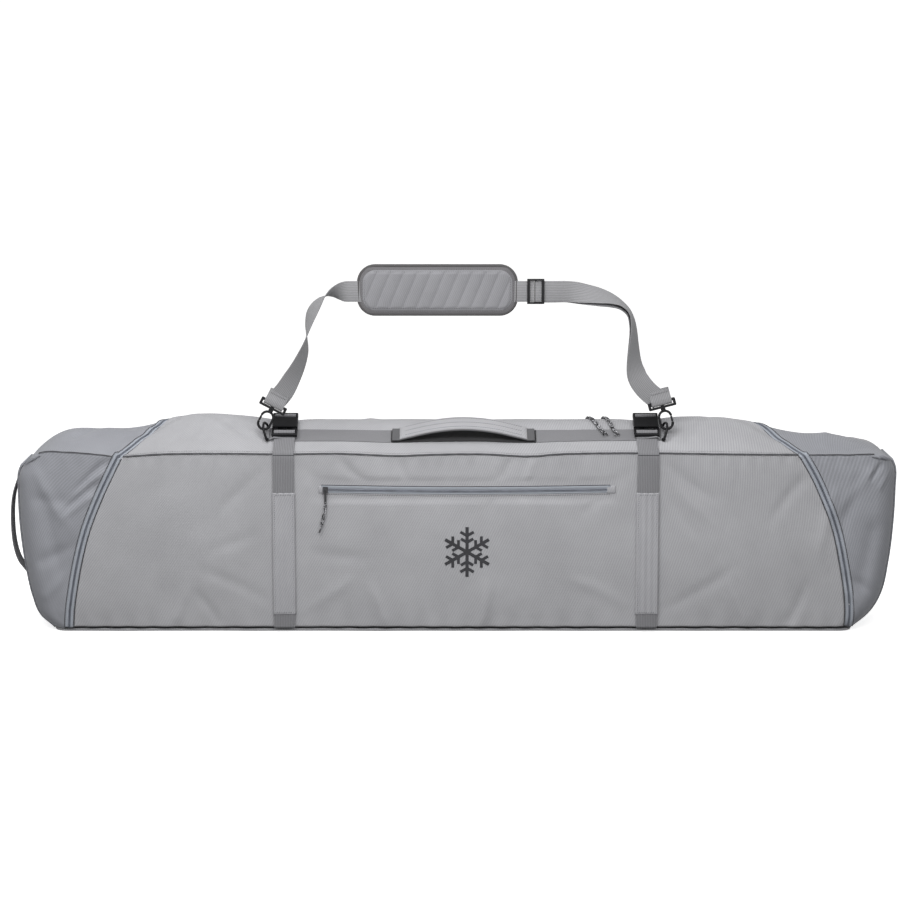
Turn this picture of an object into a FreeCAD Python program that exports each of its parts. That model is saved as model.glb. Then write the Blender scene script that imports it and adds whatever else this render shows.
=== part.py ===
import FreeCAD, Part
import math
import os
import Sketcher

# Padded snowboard bag lying on its long narrow side.
# Millimetres, +Z up, +X to the right, the zipped flap on the -Y side.
# Z = 0 is the ground under the bag and X = 0, Y = 0 is the middle of its footprint.

os.makedirs("parts", exist_ok=True)
doc = FreeCAD.newDocument("SnowboardBag")
sheet = doc.addObject("Spreadsheet::Sheet", "Sizes")

SIZES = [
    ("body_left", -785.0), ("body_right", 811.0),
    ("front_face", -95.0), ("rear_face", 95.0), ("wall", 4.0),
    ("ground", 0.0), ("seam_height", 329.0), ("crown_height", 375.0),
    ("crown_front", -5.0), ("crown_rear", 25.0), ("rear_seam_height", 335.0),
    ("end_crown_height", 357.0), ("roof_pitch", 27.07),
    ("flap_foot_left", -697.0), ("flap_shoulder_left", -601.0), ("flap_back_left", -510.0),
    ("flap_foot_right", 729.0), ("flap_shoulder_right", 641.0), ("flap_back_right", 552.0),
    ("zip_line", 42.0), ("tape_thickness", 1.3),
    ("webbing_width", 38.0), ("webbing_thickness", 2.0),
    ("left_strap", -302.0), ("right_strap", 359.0),
    ("sleeve_foot", 34.0), ("sleeve_height", 225.0), ("sleeve_width", 43.0),
    ("pocket_left", -233.0), ("pocket_height", 264.0),
    ("pocket_length", 523.0),
    ("buckle_width", 46.0), ("buckle_start", 44.0), ("buckle_lift", 6.0),
    ("buckle_thickness", 10.0),
    ("left_ring", -333.0), ("right_ring", 388.5), ("ring_middle", 58.0), ("ring_lift", 4.6),
    ("ring_radius", 21.0), ("ring_wire", 2.2), ("ring_lean", 70.0),
    ("hook_radius", 11.0), ("hook_wire", 2.3), ("hook_side", 12.0),
    ("left_hook", -340.2), ("right_hook", 395.7), ("hook_height", 377.05),
    ("left_hook_tilt", 27.5), ("right_hook_tilt", -14.5), ("strap_plane", -54.4),
    ("strap_middle", 621.0), ("pad_left", -166.5), ("pad_length", 287.5),
    ("pad_foot", 578.3), ("pad_height", 90.0), ("glide_left", 139.5),
    ("grip_left", -92.0), ("grip_right", 141.0), ("grip_rise", 20.0),
    ("band_front", 40.0), ("slider_left", 255.0), ("slider_right", 283.0),
    ("cord_radius", 1.7), ("pocket_cord_radius", 1.2),
]


def write_sheet():
    """Put every driving size in its own row with its name as the alias."""
    for row, (alias, amount) in enumerate(SIZES, start=1):
        sheet.set("A%d" % row, alias)
        sheet.set("B%d" % row, str(amount))
        sheet.setAlias("B%d" % row, alias)
    doc.recompute()


def size(alias):
    """Read one driving size back from the sheet."""
    return float(sheet.get(alias))


def number(term):
    """Value of a term, which is (alias, offset)."""
    alias, offset = term
    return size(alias) + offset


def formula(term):
    """Expression text of a term, which is (alias, offset)."""
    alias, offset = term
    return "Sizes.%s + (%s)" % (alias, repr(float(offset)))


def origin_plane(body, role):
    """Find one of a body's own origin planes by its role."""
    for feature in body.Origin.OriginFeatures:
        if feature.Role == role:
            return feature
    raise RuntimeError("no plane " + role)


def outline_body(label, role, corners, depth, base=None, setback=None):
    """Pad a closed outline of sheet-driven corners square to an origin plane.

    A setback moves the outline back against the padding direction first.
    """
    body = doc.addObject("PartDesign::Body", label)
    body.Label = label
    sketch = body.newObject("Sketcher::SketchObject", label + "_outline")
    sketch.AttachmentSupport = (origin_plane(body, role), [""])
    sketch.MapMode = "FlatFace"
    if setback is not None:
        sketch.AttachmentOffset = FreeCAD.Placement(
            FreeCAD.Vector(0, 0, -number(setback)), FreeCAD.Rotation())
        sketch.setExpression("AttachmentOffset.Base.z", "-(" + formula(setback) + ")")
    points = []
    for across, up in corners:
        points.append(FreeCAD.Vector(number(across), number(up), 0))
    count = len(points)
    for index in range(count):
        line = Part.LineSegment(points[index], points[(index + 1) % count])
        sketch.addGeometry(line, False)
    for index in range(count):
        following = (index + 1) % count
        sketch.addConstraint(Sketcher.Constraint("Coincident", index, 2, following, 1))
    for index, (across, up) in enumerate(corners):
        place = sketch.addConstraint(
            Sketcher.Constraint("DistanceX", -1, 1, index, 1, number(across)))
        sketch.renameConstraint(place, "across%d" % index)
        sketch.setExpression("Constraints.across%d" % index, formula(across))
        place = sketch.addConstraint(
            Sketcher.Constraint("DistanceY", -1, 1, index, 1, number(up)))
        sketch.renameConstraint(place, "up%d" % index)
        sketch.setExpression("Constraints.up%d" % index, formula(up))
    pad = body.newObject("PartDesign::Pad", label + "_pad")
    pad.Profile = sketch
    pad.setExpression("Length", formula(depth))
    body.Tip = pad
    if base is not None:
        move_to(body, base)
    return body


def move_to(item, base, rotation=None):
    """Place a piece at sheet-driven coordinates after turning it."""
    turn = rotation or FreeCAD.Rotation()
    item.Placement = FreeCAD.Placement(
        FreeCAD.Vector(number(base[0]), number(base[1]), number(base[2])), turn)
    for axis, term in zip("xyz", base):
        item.setExpression("Placement.Base." + axis, formula(term))


def box(label, base, extent, rotation=None):
    """A block with a sheet-driven corner and size."""
    item = doc.addObject("Part::Box", label)
    item.Label = label
    for side, term in zip(("Length", "Width", "Height"), extent):
        item.setExpression(side, formula(term))
    move_to(item, base, rotation)
    return item


def rod(label, base, radius, length, rotation=None):
    """A round bar along its own Z axis."""
    item = doc.addObject("Part::Cylinder", label)
    item.Label = label
    item.setExpression("Radius", formula(radius))
    item.setExpression("Height", formula(length))
    move_to(item, base, rotation)
    return item


def bow(label, base, ring, wire, rotation=None):
    """Half a round-wire ring whose middle points along its own Y axis."""
    item = doc.addObject("Part::Torus", label)
    item.Label = label
    item.setExpression("Radius1", formula(ring))
    item.setExpression("Radius2", formula(wire))
    item.Angle3 = 180
    move_to(item, base, rotation)
    return item


def cut(label, base, tool):
    """Take one piece away from another."""
    item = doc.addObject("Part::Cut", label)
    item.Label = label
    item.Base = base
    item.Tool = tool
    return item


def common(label, base, tool):
    """Keep what two pieces share."""
    item = doc.addObject("Part::Common", label)
    item.Label = label
    item.Base = base
    item.Tool = tool
    return item


def joined(label, shapes):
    """Join overlapping pieces into one solid."""
    item = doc.addObject("Part::MultiFuse", label)
    item.Label = label
    item.Shapes = shapes
    item.Refine = True
    return item


def rounded(label, base, radius, chosen):
    """Round the edges of a piece for which chosen(edge) is true."""
    doc.recompute()
    item = doc.addObject("Part::Fillet", label)
    item.Label = label
    item.Base = base
    edges = []
    for index, edge in enumerate(base.Shape.Edges, start=1):
        if chosen(edge):
            edges.append((index, radius, radius))
    item.Edges = edges
    return item


def runs_along(axis):
    """Test for straight edges that run along one axis (0, 1 or 2)."""
    def test(edge):
        first = edge.Vertexes[0].Point
        last = edge.Vertexes[-1].Point
        step = last.sub(first)
        return edge.Length > 0.1 and abs(abs(step[axis]) - edge.Length) < 1e-6
    return test


def at(amount):
    """A plain offset from the ground level, which is zero."""
    return ("ground", amount)


write_sheet()

EXPORTS = []
PITCH = FreeCAD.Rotation(FreeCAD.Vector(1, 0, 0), size("roof_pitch"))
ROOF_BASE = (at(0), ("front_face", 0), ("seam_height", 0))


def keep(item):
    """List a finished piece for checking and export."""
    EXPORTS.append(item)
    return item


def on_roof(item):
    """Move a piece drawn in roof terms (X, up the slope, off the slope) onto the roof."""
    move_to(item, ROOF_BASE, PITCH)
    return item


# ---------------------------------------------------------------- fabric shell

LEFT_END = [(("body_left", 45), at(6)), (("body_left", 25), at(47)),
            (("body_left", 13), at(107)), (("body_left", 3), at(190)),
            (("body_left", 0), ("seam_height", -46)), (("body_left", 7), ("seam_height", -30))]
RIGHT_END = [(("body_right", -66), at(6)), (("body_right", -27), at(54)),
             (("body_right", -9), at(127)), (("body_right", -1), at(240)),
             (("body_right", 0), ("seam_height", -35)), (("body_right", -14), ("seam_height", -12.5))]


def shifted(corners, step):
    """Copy a run of corners moved along X by a step."""
    moved = []
    for across, up in corners:
        moved.append(((across[0], across[1] + step), up))
    return moved


ZIP_BOWS = {
    "left": [(45, 8.5), (85, 14.2), (130, 18.8), (190, 20.5), (250, 14.5), (295, 6.5)],
    "right": [(45, 11.0), (90, 18.5), (148, 23.5), (200, 25.0), (255, 18.0), (300, 9.0)]}


def slant(side, step):
    """Corners of a bowed zip line on the front from the foot up, moved along X by a step."""
    outward = -1 if side == "left" else 1
    lean = size("flap_shoulder_" + side) - size("flap_foot_" + side)
    corners = []
    for height, bow_out in ZIP_BOWS[side]:
        share = (height - 6) / (size("seam_height") - 8)
        across = lean * share + outward * bow_out + step
        corners.append((("flap_foot_" + side, across), at(height)))
    return corners


def wall_panels():
    """Rear, floor and end panels of the standing part of the bag."""
    outline = LEFT_END + [(("body_left", 43), ("seam_height", 1)),
                          (("body_right", -60), ("seam_height", 1))]
    outline = outline + list(reversed(RIGHT_END))
    keep(outline_body("rear_panel", "XZ_Plane", outline, ("wall", 0),
                      (at(0), ("rear_face", 0), at(0))))
    keep(box("bottom_panel", (("body_left", 46), ("front_face", 4.5), at(0)),
             (("body_right", 672), ("rear_face", 86), at(5))))
    for label, corners, step in (("left_end_panel", LEFT_END, 4.0),
                                 ("right_end_panel", RIGHT_END, -4.0)):
        band = corners + list(reversed(shifted(corners, step)))
        keep(outline_body(label, "XZ_Plane", band, ("rear_face", 86.5),
                          (at(0), ("rear_face", -4.2), at(0))))


def front_corners():
    """Fixed front panels outside the two slanted zip runs."""
    left = LEFT_END + [(("body_left", 43), ("seam_height", -5)),
                       (("flap_shoulder_left", -0.6), ("seam_height", -5))]
    left = left + list(reversed(slant("left", -0.6))) + [(("flap_foot_left", -0.6), at(6))]
    right = [(("flap_foot_right", 0.6), at(6))] + slant("right", 0.6)
    right = right + [(("flap_shoulder_right", 0.6), ("seam_height", -5)),
                     (("body_right", -50), ("seam_height", -5))] + list(reversed(RIGHT_END))
    for label, corners in (("left_front_panel", left), ("right_front_panel", right)):
        keep(outline_body(label, "XZ_Plane", corners, ("wall", 0),
                          (at(0), ("front_face", 4), at(0))))


def roof_section(label, lift, reach):
    """Block under the roof line, lifted square to the roof and widened by reach."""
    corners = [(("front_face", -reach), ("seam_height", -0.511 * reach + 1.12 * lift)),
               (("crown_front", 0.23 * lift), ("crown_height", lift)),
               (("crown_rear", -0.26 * lift), ("crown_height", lift)),
               (("rear_face", reach), ("rear_seam_height", -0.571 * reach + 1.15 * lift)),
               (("rear_face", reach), ("seam_height", -150)),
               (("front_face", -reach), ("seam_height", -150))]
    length = ("body_right", 990)
    return outline_body(label, "YZ_Plane", corners, length,
                        (("body_left", -100), at(0), at(0)))


def roof_outline(label, lift, reach):
    """Block under the roof's outline seen from the front, lifted by lift."""
    corners = [(("body_left", -reach), ("seam_height", -150)),
               (("body_left", -reach), ("seam_height", -49 - 2.0 * reach + lift)),
               (("body_left", 7), ("seam_height", -25 + lift)),
               (("body_left", 43), ("seam_height", 6 + lift)),
               (("body_left", 81), ("end_crown_height", -3 + lift)),
               (("body_left", 195), ("end_crown_height", lift)),
               (("body_left", 245), ("crown_height", 8 + lift)),
               (("body_right", -251), ("crown_height", 8 + lift)),
               (("body_right", -199), ("end_crown_height", -7 + lift)),
               (("body_right", -111), ("end_crown_height", -10 + lift)),
               (("body_right", -85), ("end_crown_height", -16 + lift)),
               (("body_right", -15), ("seam_height", -7 + lift)),
               (("body_right", reach), ("seam_height", -30 - 1.5 * reach + lift)),
               (("body_right", reach), ("seam_height", -150))]
    return outline_body(label, "XZ_Plane", corners, ("rear_face", 305),
                        (at(0), ("rear_face", 105), at(0)))


def plan_prism(label, corners):
    """Upright prism over a plan outline, used to divide the roof."""
    return outline_body(label, "XY_Plane", corners, ("crown_height", 200),
                        (at(0), at(0), ("seam_height", -140)))


def roof_skin(label, low, high):
    """Skin of the roof between two lifts above the roof line."""
    outside = common(label + "_outside", roof_section(label + "_high_section", high, max(high, 0)),
                     roof_outline(label + "_high_outline", high, max(high, 0)))
    inside = common(label + "_inside", roof_section(label + "_low_section", low, 60),
                    roof_outline(label + "_low_outline", low, 40))
    return cut(label, outside, inside)


def roof_panels():
    """Roof panels: three fixed ones and the one that opens with the flap."""
    skin = roof_skin("roof_skin", -4.0, 0.0)
    middle = plan_prism("top_panel_plan", [
        (("flap_shoulder_left", 0.6), ("front_face", -1)),
        (("flap_shoulder_right", -0.6), ("front_face", -1)),
        (("flap_back_right", -0.6), ("zip_line", -0.6)),
        (("flap_back_left", 0.6), ("zip_line", -0.6))])
    top = keep(common("top_panel", skin, middle))
    left = plan_prism("left_top_plan", [
        (("body_left", -10), ("front_face", -1)),
        (("flap_shoulder_left", -0.6), ("front_face", -1)),
        (("flap_back_left", -0.6), ("zip_line", 0.6)),
        (("body_left", -10), ("zip_line", 0.6))])
    keep(common("left_top_panel", skin, left))
    right = plan_prism("right_top_plan", [
        (("flap_shoulder_right", 0.6), ("front_face", -1)),
        (("body_right", 10), ("front_face", -1)),
        (("body_right", 10), ("zip_line", 0.6)),
        (("flap_back_right", 0.6), ("zip_line", 0.6))])
    keep(common("right_top_panel", skin, right))
    rear = plan_prism("rear_top_plan", [
        (("body_left", -10), ("zip_line", 0.8)), (("body_right", 10), ("zip_line", 0.8)),
        (("body_right", 10), ("rear_face", 1)), (("body_left", -10), ("rear_face", 1))])
    keep(common("rear_top_panel", skin, rear))
    return top


def front_panel():
    """Front of the flap, hung from the lower front edge."""
    corners = [(("flap_foot_left", 0.6), at(9))] + slant("left", 0.6)
    corners = corners + [(("flap_shoulder_left", 0.6), ("seam_height", -5)),
                         (("flap_shoulder_right", -0.6), ("seam_height", -5))]
    corners = corners + list(reversed(slant("right", -0.6))) + [(("flap_foot_right", -0.6), at(9))]
    panel = outline_body("front_panel_sheet", "XZ_Plane", corners, ("wall", 0),
                         (at(0), ("front_face", 4), at(0)))
    slot = box("pocket_mouth", (("pocket_left", 6), ("front_face", -2), ("pocket_height", -1.5)),
               (("pocket_length", -12), at(8), at(3)))
    return keep(cut("front_panel", panel, slot))


def zip_halves():
    """Reverse-coil tapes of the main zip, one half on the flap and one on the bag.

    The slanted strips start 3 mm ahead of the front, so their corners are shifted by ahead there.
    """
    skin = roof_skin("tape_skin", 0.0, size("tape_thickness"))
    ahead = 1.97
    for label, sign in (("main_zip_flap_tape", 1), ("main_zip_body_tape", -1)):
        pieces = []
        near = 0.6 * sign
        far = 9.5 * sign
        for side, turn in (("left", 1), ("right", -1)):
            front = [(("flap_foot_" + side, near * turn), at(9))] + slant(side, near * turn)
            front = front + [(("flap_shoulder_" + side, near * turn), ("seam_height", 1.4)),
                             (("flap_shoulder_" + side, far * turn), ("seam_height", 1.4))]
            front = front + list(reversed(slant(side, far * turn)))
            front = front + [(("flap_foot_" + side, far * turn), at(9))]
            pieces.append(outline_body(label + "_" + side + "_front", "XZ_Plane", front,
                                       ("tape_thickness", 0), (at(0), ("front_face", 0), at(0))))
            corners = [(("flap_shoulder_" + side, (near - ahead) * turn), ("front_face", -3)),
                       (("flap_shoulder_" + side, (far - ahead) * turn), ("front_face", -3)),
                       (("flap_back_" + side, far * turn), ("zip_line", -9.5 * sign)),
                       (("flap_back_" + side, near * turn), ("zip_line", -0.6 * sign))]
            prism = plan_prism(label + "_" + side + "_plan", corners)
            pieces.append(common(label + "_" + side + "_roof", skin, prism))
        run = [(("flap_back_left", near), ("zip_line", -0.6 * sign)),
               (("flap_back_right", -near), ("zip_line", -0.6 * sign)),
               (("flap_back_right", -far), ("zip_line", -9.5 * sign)),
               (("flap_back_left", far), ("zip_line", -9.5 * sign))]
        prism = plan_prism(label + "_back_plan", run)
        pieces.append(common(label + "_back", skin, prism))
        keep(joined(label, pieces))


def seam_piping(panels):
    """Round piping along the flap's front upper seam."""
    line = rod("seam_piping_rod", (("flap_shoulder_left", 12), ("front_face", 0), ("seam_height", 0)),
               at(2.5), ("flap_shoulder_right", 577), FreeCAD.Rotation(FreeCAD.Vector(0, 1, 0), 90))
    trimmed = cut("seam_piping_over_front", line, panels[0])
    keep(cut("seam_piping", trimmed, panels[1]))




# ---------------------------------------------------------------- front pocket

def pocket():
    """Coil-zip tapes over the pocket mouth and the flat lining pocket behind it."""
    for label, low in (("pocket_zip_upper_tape", 0.6), ("pocket_zip_lower_tape", -9.6)):
        keep(box(label, (("pocket_left", 0), ("front_face", -1.3), ("pocket_height", low)),
                 (("pocket_length", 0), ("tape_thickness", 0), at(9))))
    keep(box("pocket_lining", (("pocket_left", 8), ("front_face", 4.2), at(62)),
             (("pocket_length", -16), at(2), ("pocket_height", -54))))


# ---------------------------------------------------------------- straps and sleeves

def front_strap(side):
    """Compression webbing up the flap's front, over the seam and up to the buckle."""
    band = [(("front_face", -5), at(9)), (("front_face", -3), at(9)),
            (("front_face", -3), ("seam_height", 2)), (("front_face", 0), ("seam_height", 5)),
            (("front_face", 60), ("seam_height", 34.1)), (("front_face", 59.1), ("seam_height", 35.9)),
            (("front_face", -1.2), ("seam_height", 6.8)), (("front_face", -5), ("seam_height", 2.8))]
    keep(outline_body("front_strap_" + side, "YZ_Plane", band, ("webbing_width", 0),
                      ((side + "_strap", -19), at(0), at(0))))


def top_strap(side):
    """Webbing on the flap from the buckle over the crown to the zip."""
    band = [(("front_face", 78), ("seam_height", 43.3)), (("crown_front", -1.5), ("crown_height", 3)),
            (("crown_rear", 0), ("crown_height", 2.6)), (("zip_line", -10.5), ("crown_height", -1.7)),
            (("zip_line", -9.5), ("crown_height", 0.1)), (("crown_rear", 0.6), ("crown_height", 4.6)),
            (("crown_front", -2), ("crown_height", 5)), (("front_face", 77.1), ("seam_height", 45.1))]
    keep(outline_body("top_strap_" + side, "YZ_Plane", band, ("webbing_width", 0),
                      ((side + "_strap", -19), at(0), at(0))))


def rear_strap(side):
    """Webbing on the fixed side of the zip, over the rear seam and down the rear panel."""
    band = [(("zip_line", 11), ("crown_height", -13.6)), (("rear_face", -0.4), ("rear_seam_height", 1.6)),
            (("rear_face", 0.8), ("rear_seam_height", -1)), (("rear_face", 0.8), at(9)),
            (("rear_face", 2.8), at(9)), (("rear_face", 2.8), ("rear_seam_height", 0)),
            (("rear_face", 0.8), ("rear_seam_height", 3.7)), (("zip_line", 12), ("crown_height", -11.8))]
    keep(outline_body("rear_strap_" + side, "YZ_Plane", band, ("webbing_width", 0),
                      ((side + "_strap", -19), at(0), at(0))))


def sleeve(side):
    """Stitched fabric sleeve that holds the compression webbing on the front."""
    strap = side + "_strap"
    outer = box("sleeve_outer_" + side, ((strap, -21.5), ("front_face", -6.4), ("sleeve_foot", 0)),
                (("sleeve_width", 0), at(6.3), ("sleeve_height", 0)))
    tunnel = box("sleeve_tunnel_" + side, ((strap, -19.3), ("front_face", -5.2), ("sleeve_foot", -2)),
                 (("webbing_width", 0.6), at(2.4), ("sleeve_height", 4)))
    keep(cut("strap_sleeve_" + side, outer, tunnel))


# ---------------------------------------------------------------- side-release buckles

def buckle_male(side):
    """Male half: ladder frame with two latch arms and a centre guide."""
    strap = side + "_strap"
    start = "buckle_start"
    lift = "buckle_lift"
    frame = box("male_frame_" + side, ((strap, -23), (start, 0), (lift, 1)), (at(46), at(18), at(6.5)))
    frame = rounded("male_frame_round_" + side, frame, 1.5, runs_along(0))
    slots = []
    for index, step in enumerate((3.4, 10.0)):
        slots.append(box("male_slot_%d_%s" % (index, side), ((strap, -19.6), (start, step), (lift, -1)),
                         (at(39.2), at(4.2), at(12))))
    frame = cut("male_ladder_" + side, frame, joined("male_slots_" + side, slots))
    pieces = [frame]
    for index, across in enumerate((-20.0, 13.6)):
        arm = box("male_arm_%d_%s" % (index, side), ((strap, across), (start, 17), (lift, 2.6)),
                  (at(6.4), at(28), at(4.6)))
        pieces.append(rounded("male_arm_round_%d_%s" % (index, side), arm, 1.4, runs_along(2)))
    pieces.append(box("male_guide_" + side, ((strap, -3), (start, 17), (lift, 3.4)),
                      (at(6), at(24), at(3))))
    keep(on_roof(joined("buckle_male_" + side, pieces)))


def buckle_female(side):
    """Female half: open-mouthed housing with side windows and a ladder bar."""
    strap = side + "_strap"
    start = "buckle_start"
    lift = "buckle_lift"
    shell = box("female_shell_" + side, ((strap, -23), (start, 21), (lift, 0)),
                (("buckle_width", 0), at(43), ("buckle_thickness", 0)))
    shell = rounded("female_round_" + side, shell, 2.0, runs_along(1))
    cavity = box("female_cavity_" + side, ((strap, -20.6), (start, 19), (lift, 1.8)),
                 (at(41.2), at(29), at(6.2)))
    window_left = box("female_window_left_" + side, ((strap, -26), (start, 28), (lift, 2.2)),
                      (at(8), at(13), at(5.4)))
    window_right = box("female_window_right_" + side, ((strap, 18), (start, 28), (lift, 2.2)),
                       (at(8), at(13), at(5.4)))
    slot_one = box("female_slot_one_" + side, ((strap, -19.6), (start, 50.5), (lift, -1)),
                   (at(39.2), at(3.6), at(14)))
    slot_two = box("female_slot_two_" + side, ((strap, -19.6), (start, 57), (lift, -1)),
                   (at(39.2), at(3.6), at(14)))
    tools = joined("female_hollows_" + side, [cavity, window_left, window_right])
    shell = cut("female_hollow_" + side, shell, tools)
    slots = joined("female_slots_" + side, [slot_one, slot_two])
    keep(on_roof(cut("buckle_female_" + side, shell, slots)))


# ---------------------------------------------------------------- top webbing, rings, handle

def top_webbing(side, sign, inner):
    """Webbing sewn along the roof from the handle to the D-ring, looped round the ring's bar."""
    ring = side + "_ring"
    rotation = FreeCAD.Rotation(FreeCAD.Vector(1, 0, 0), -90)
    loop = rod("webbing_loop_outer_" + side, ((ring, 0), ("band_front", 0), ("ring_lift", 0)),
               at(4.3), at(36), rotation)
    bore = rod("webbing_loop_bore_" + side, ((ring, 0), ("band_front", -2), ("ring_lift", 0)),
               at(2.4), at(40), rotation)
    if sign > 0:
        slab = box("webbing_slab_" + side, ((ring, 0), ("band_front", 0), at(0.4)),
                   (inner, at(36), at(1.7)))
    else:
        slab = box("webbing_slab_" + side, (("grip_right", 17), ("band_front", 0), at(0.4)),
                   (inner, at(36), at(1.7)))
    solid = joined("webbing_wrap_solid_" + side, [loop, slab])
    keep(on_roof(cut("top_webbing_" + side, solid, bore)))


def d_ring(side, sign):
    """Welded D-ring whose bow leans up and outward from the webbing loop."""
    ring = side + "_ring"
    lean = math.radians(size("ring_lean"))
    outward = FreeCAD.Vector(-sign * math.cos(lean), 0, math.sin(lean))
    along = FreeCAD.Vector(0, 1, 0)
    turn = FreeCAD.Rotation(along, outward, along.cross(outward), "XYZ")
    half = bow("ring_bow_" + side, ((ring, 0), ("ring_middle", 0), ("ring_lift", 0)),
               ("ring_radius", 0), ("ring_wire", 0), turn)
    bar = rod("ring_bar_" + side, ((ring, 0), ("ring_middle", -21), ("ring_lift", 0)),
              ("ring_wire", 0), ("ring_radius", 21), FreeCAD.Rotation(FreeCAD.Vector(1, 0, 0), -90))
    keep(on_roof(joined("d_ring_" + side, [half, bar])))


GRIP_ARCH = [(0.0, 0.0), (0.1, 0.30), (0.22, 0.64), (0.36, 0.90), (0.5, 1.0),
             (0.64, 0.90), (0.78, 0.64), (0.9, 0.30), (1.0, 0.0)]


def arch_band(label, start_extra, low, high, widths):
    """Band in roof terms that follows the grip's arch between two lifts off it."""
    length = size("grip_right") - size("grip_left")
    under = [(("grip_left", -start_extra), at(low)), (("grip_left", -2), at(low))]
    over = [(("grip_left", -start_extra), at(high)), (("grip_left", -2), at(high))]
    if start_extra <= 0:
        under = [(("grip_left", 0), at(0.35))]
        over = [(("grip_left", 0), at(4.6))]
    for share, rise in GRIP_ARCH:
        if start_extra <= 0 and share in (0.0, 1.0):
            continue
        across = ("grip_left", length * share)
        under.append((across, at(low + rise * size("grip_rise"))))
        over.append((across, at(high + rise * size("grip_rise"))))
    if start_extra > 0:
        under = under + [(("grip_right", 2), at(low)), (("grip_right", start_extra), at(low))]
        over = over + [(("grip_right", 2), at(high)), (("grip_right", start_extra), at(high))]
    if start_extra <= 0:
        under.append((("grip_right", 0), at(0.35)))
        over.append((("grip_right", 0), at(4.6)))
    return outline_body(label, "XZ_Plane", under + list(reversed(over)), widths[1],
                        None, widths[0])


def carry_handle():
    """Arched carry handle: webbing inside a padded fabric wrap."""
    keep(on_roof(arch_band("handle_webbing", 14.0, 1.0, 3.0, (("band_front", 36), at(36)))))
    wrap = arch_band("grip_wrap", 0.0, -2.5, 6.5, (("band_front", 39), at(42)))
    core = arch_band("grip_core", 14.0, 0.9, 3.1, (("band_front", 36.3), at(36.6)))
    keep(on_roof(cut("handle_grip", wrap, core)))


def end_handle():
    """Webbing loop that stands out from the left end."""
    outer = [(("body_left", -1), at(96)), (("body_left", -13), at(112)), (("body_left", -22), at(140)),
             (("body_left", -27), at(190)), (("body_left", -23), at(240)), (("body_left", -13), at(274)),
             (("body_left", -1), at(291))]
    inner = [(("body_left", 0.4), at(287)), (("body_left", -11), at(271)), (("body_left", -20.8), at(239)),
             (("body_left", -24.8), at(190)), (("body_left", -19.8), at(141)),
             (("body_left", -11), at(114)), (("body_left", 1.5), at(98))]
    keep(outline_body("end_handle", "XZ_Plane", outer + inner, ("webbing_width", 0),
                      (at(0), at(19), at(0))))


# ---------------------------------------------------------------- shoulder strap

def tilt_of(side):
    """Turn that leans a hook and its loop in line with the strap."""
    return FreeCAD.Rotation(FreeCAD.Vector(0, 1, 0), size(side + "_hook_tilt"))


def hook_base(side):
    """Sheet-driven point where a hook's eye goes round its D-ring."""
    return ((side + "_hook", 0), ("strap_plane", 0), ("hook_height", 0))


def snap_hook(side, sign):
    """Oval snap hook with a neck that turns in the webbing loop; sign is the gate's side."""
    up_turn = FreeCAD.Rotation(FreeCAD.Vector(1, 0, 0), 90)
    down_turn = FreeCAD.Rotation(FreeCAD.Vector(1, 0, 0), -90)
    lower = bow("hook_lower_" + side, (at(0), at(0), ("hook_radius", -7.6)),
                ("hook_radius", 0), ("hook_wire", 0), down_turn)
    upper = bow("hook_upper_" + side, (at(0), at(0), ("hook_radius", 4.4)),
                ("hook_radius", 0), ("hook_wire", 0), up_turn)
    spine = rod("hook_spine_" + side, (("hook_radius", 0) if sign < 0 else at(-11), at(0), at(3.4)),
                ("hook_wire", 0), ("hook_side", 0))
    boss = rod("hook_boss_" + side, (at(0), at(0), at(25.4)), at(4.4), at(6.4))
    neck = rod("hook_neck_" + side, (at(0), at(0), at(31)), at(2.0), at(6))
    head = rod("hook_head_" + side, (at(0), at(0), at(36.6)), at(3.6), at(2.0))
    hook = joined("snap_hook_" + side, [lower, upper, spine, boss, neck, head])
    move_to(hook, hook_base(side), tilt_of(side))
    keep(hook)


def snap_gate(side, sign):
    """Sprung gate on the outer side of a hook, round at both ends."""
    across = at(11.0 * sign)
    bar = rod("gate_bar_" + side, (across, at(0), at(5.6)), at(1.9), at(7.6))
    balls = []
    for index, height in enumerate((5.6, 13.2)):
        ball = doc.addObject("Part::Sphere", "gate_ball_%d_%s" % (index, side))
        ball.setExpression("Radius", formula(at(1.9)))
        move_to(ball, (across, at(0), at(height)))
        balls.append(ball)
    gate = joined("hook_gate_" + side, [bar] + balls)
    move_to(gate, hook_base(side), tilt_of(side))
    keep(gate)


def webbing_loop(side):
    """Rectangular loop on the strap's end, bored for the hook's neck."""
    outer = box("loop_outer_" + side, (at(-25.5), at(-4), at(32.4)), (at(51), at(8), at(14)))
    outer = rounded("loop_round_" + side, outer, 2.0, runs_along(1))
    window = box("loop_window_" + side, (at(-20.6), at(-6), at(36)), (at(41.2), at(12), at(5.8)))
    bore = rod("loop_bore_" + side, (at(0), at(0), at(30)), at(2.4), at(8))
    loop = cut("strap_loop_" + side, outer, joined("loop_space_" + side, [window, bore]))
    move_to(loop, hook_base(side), tilt_of(side))
    keep(loop)


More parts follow.
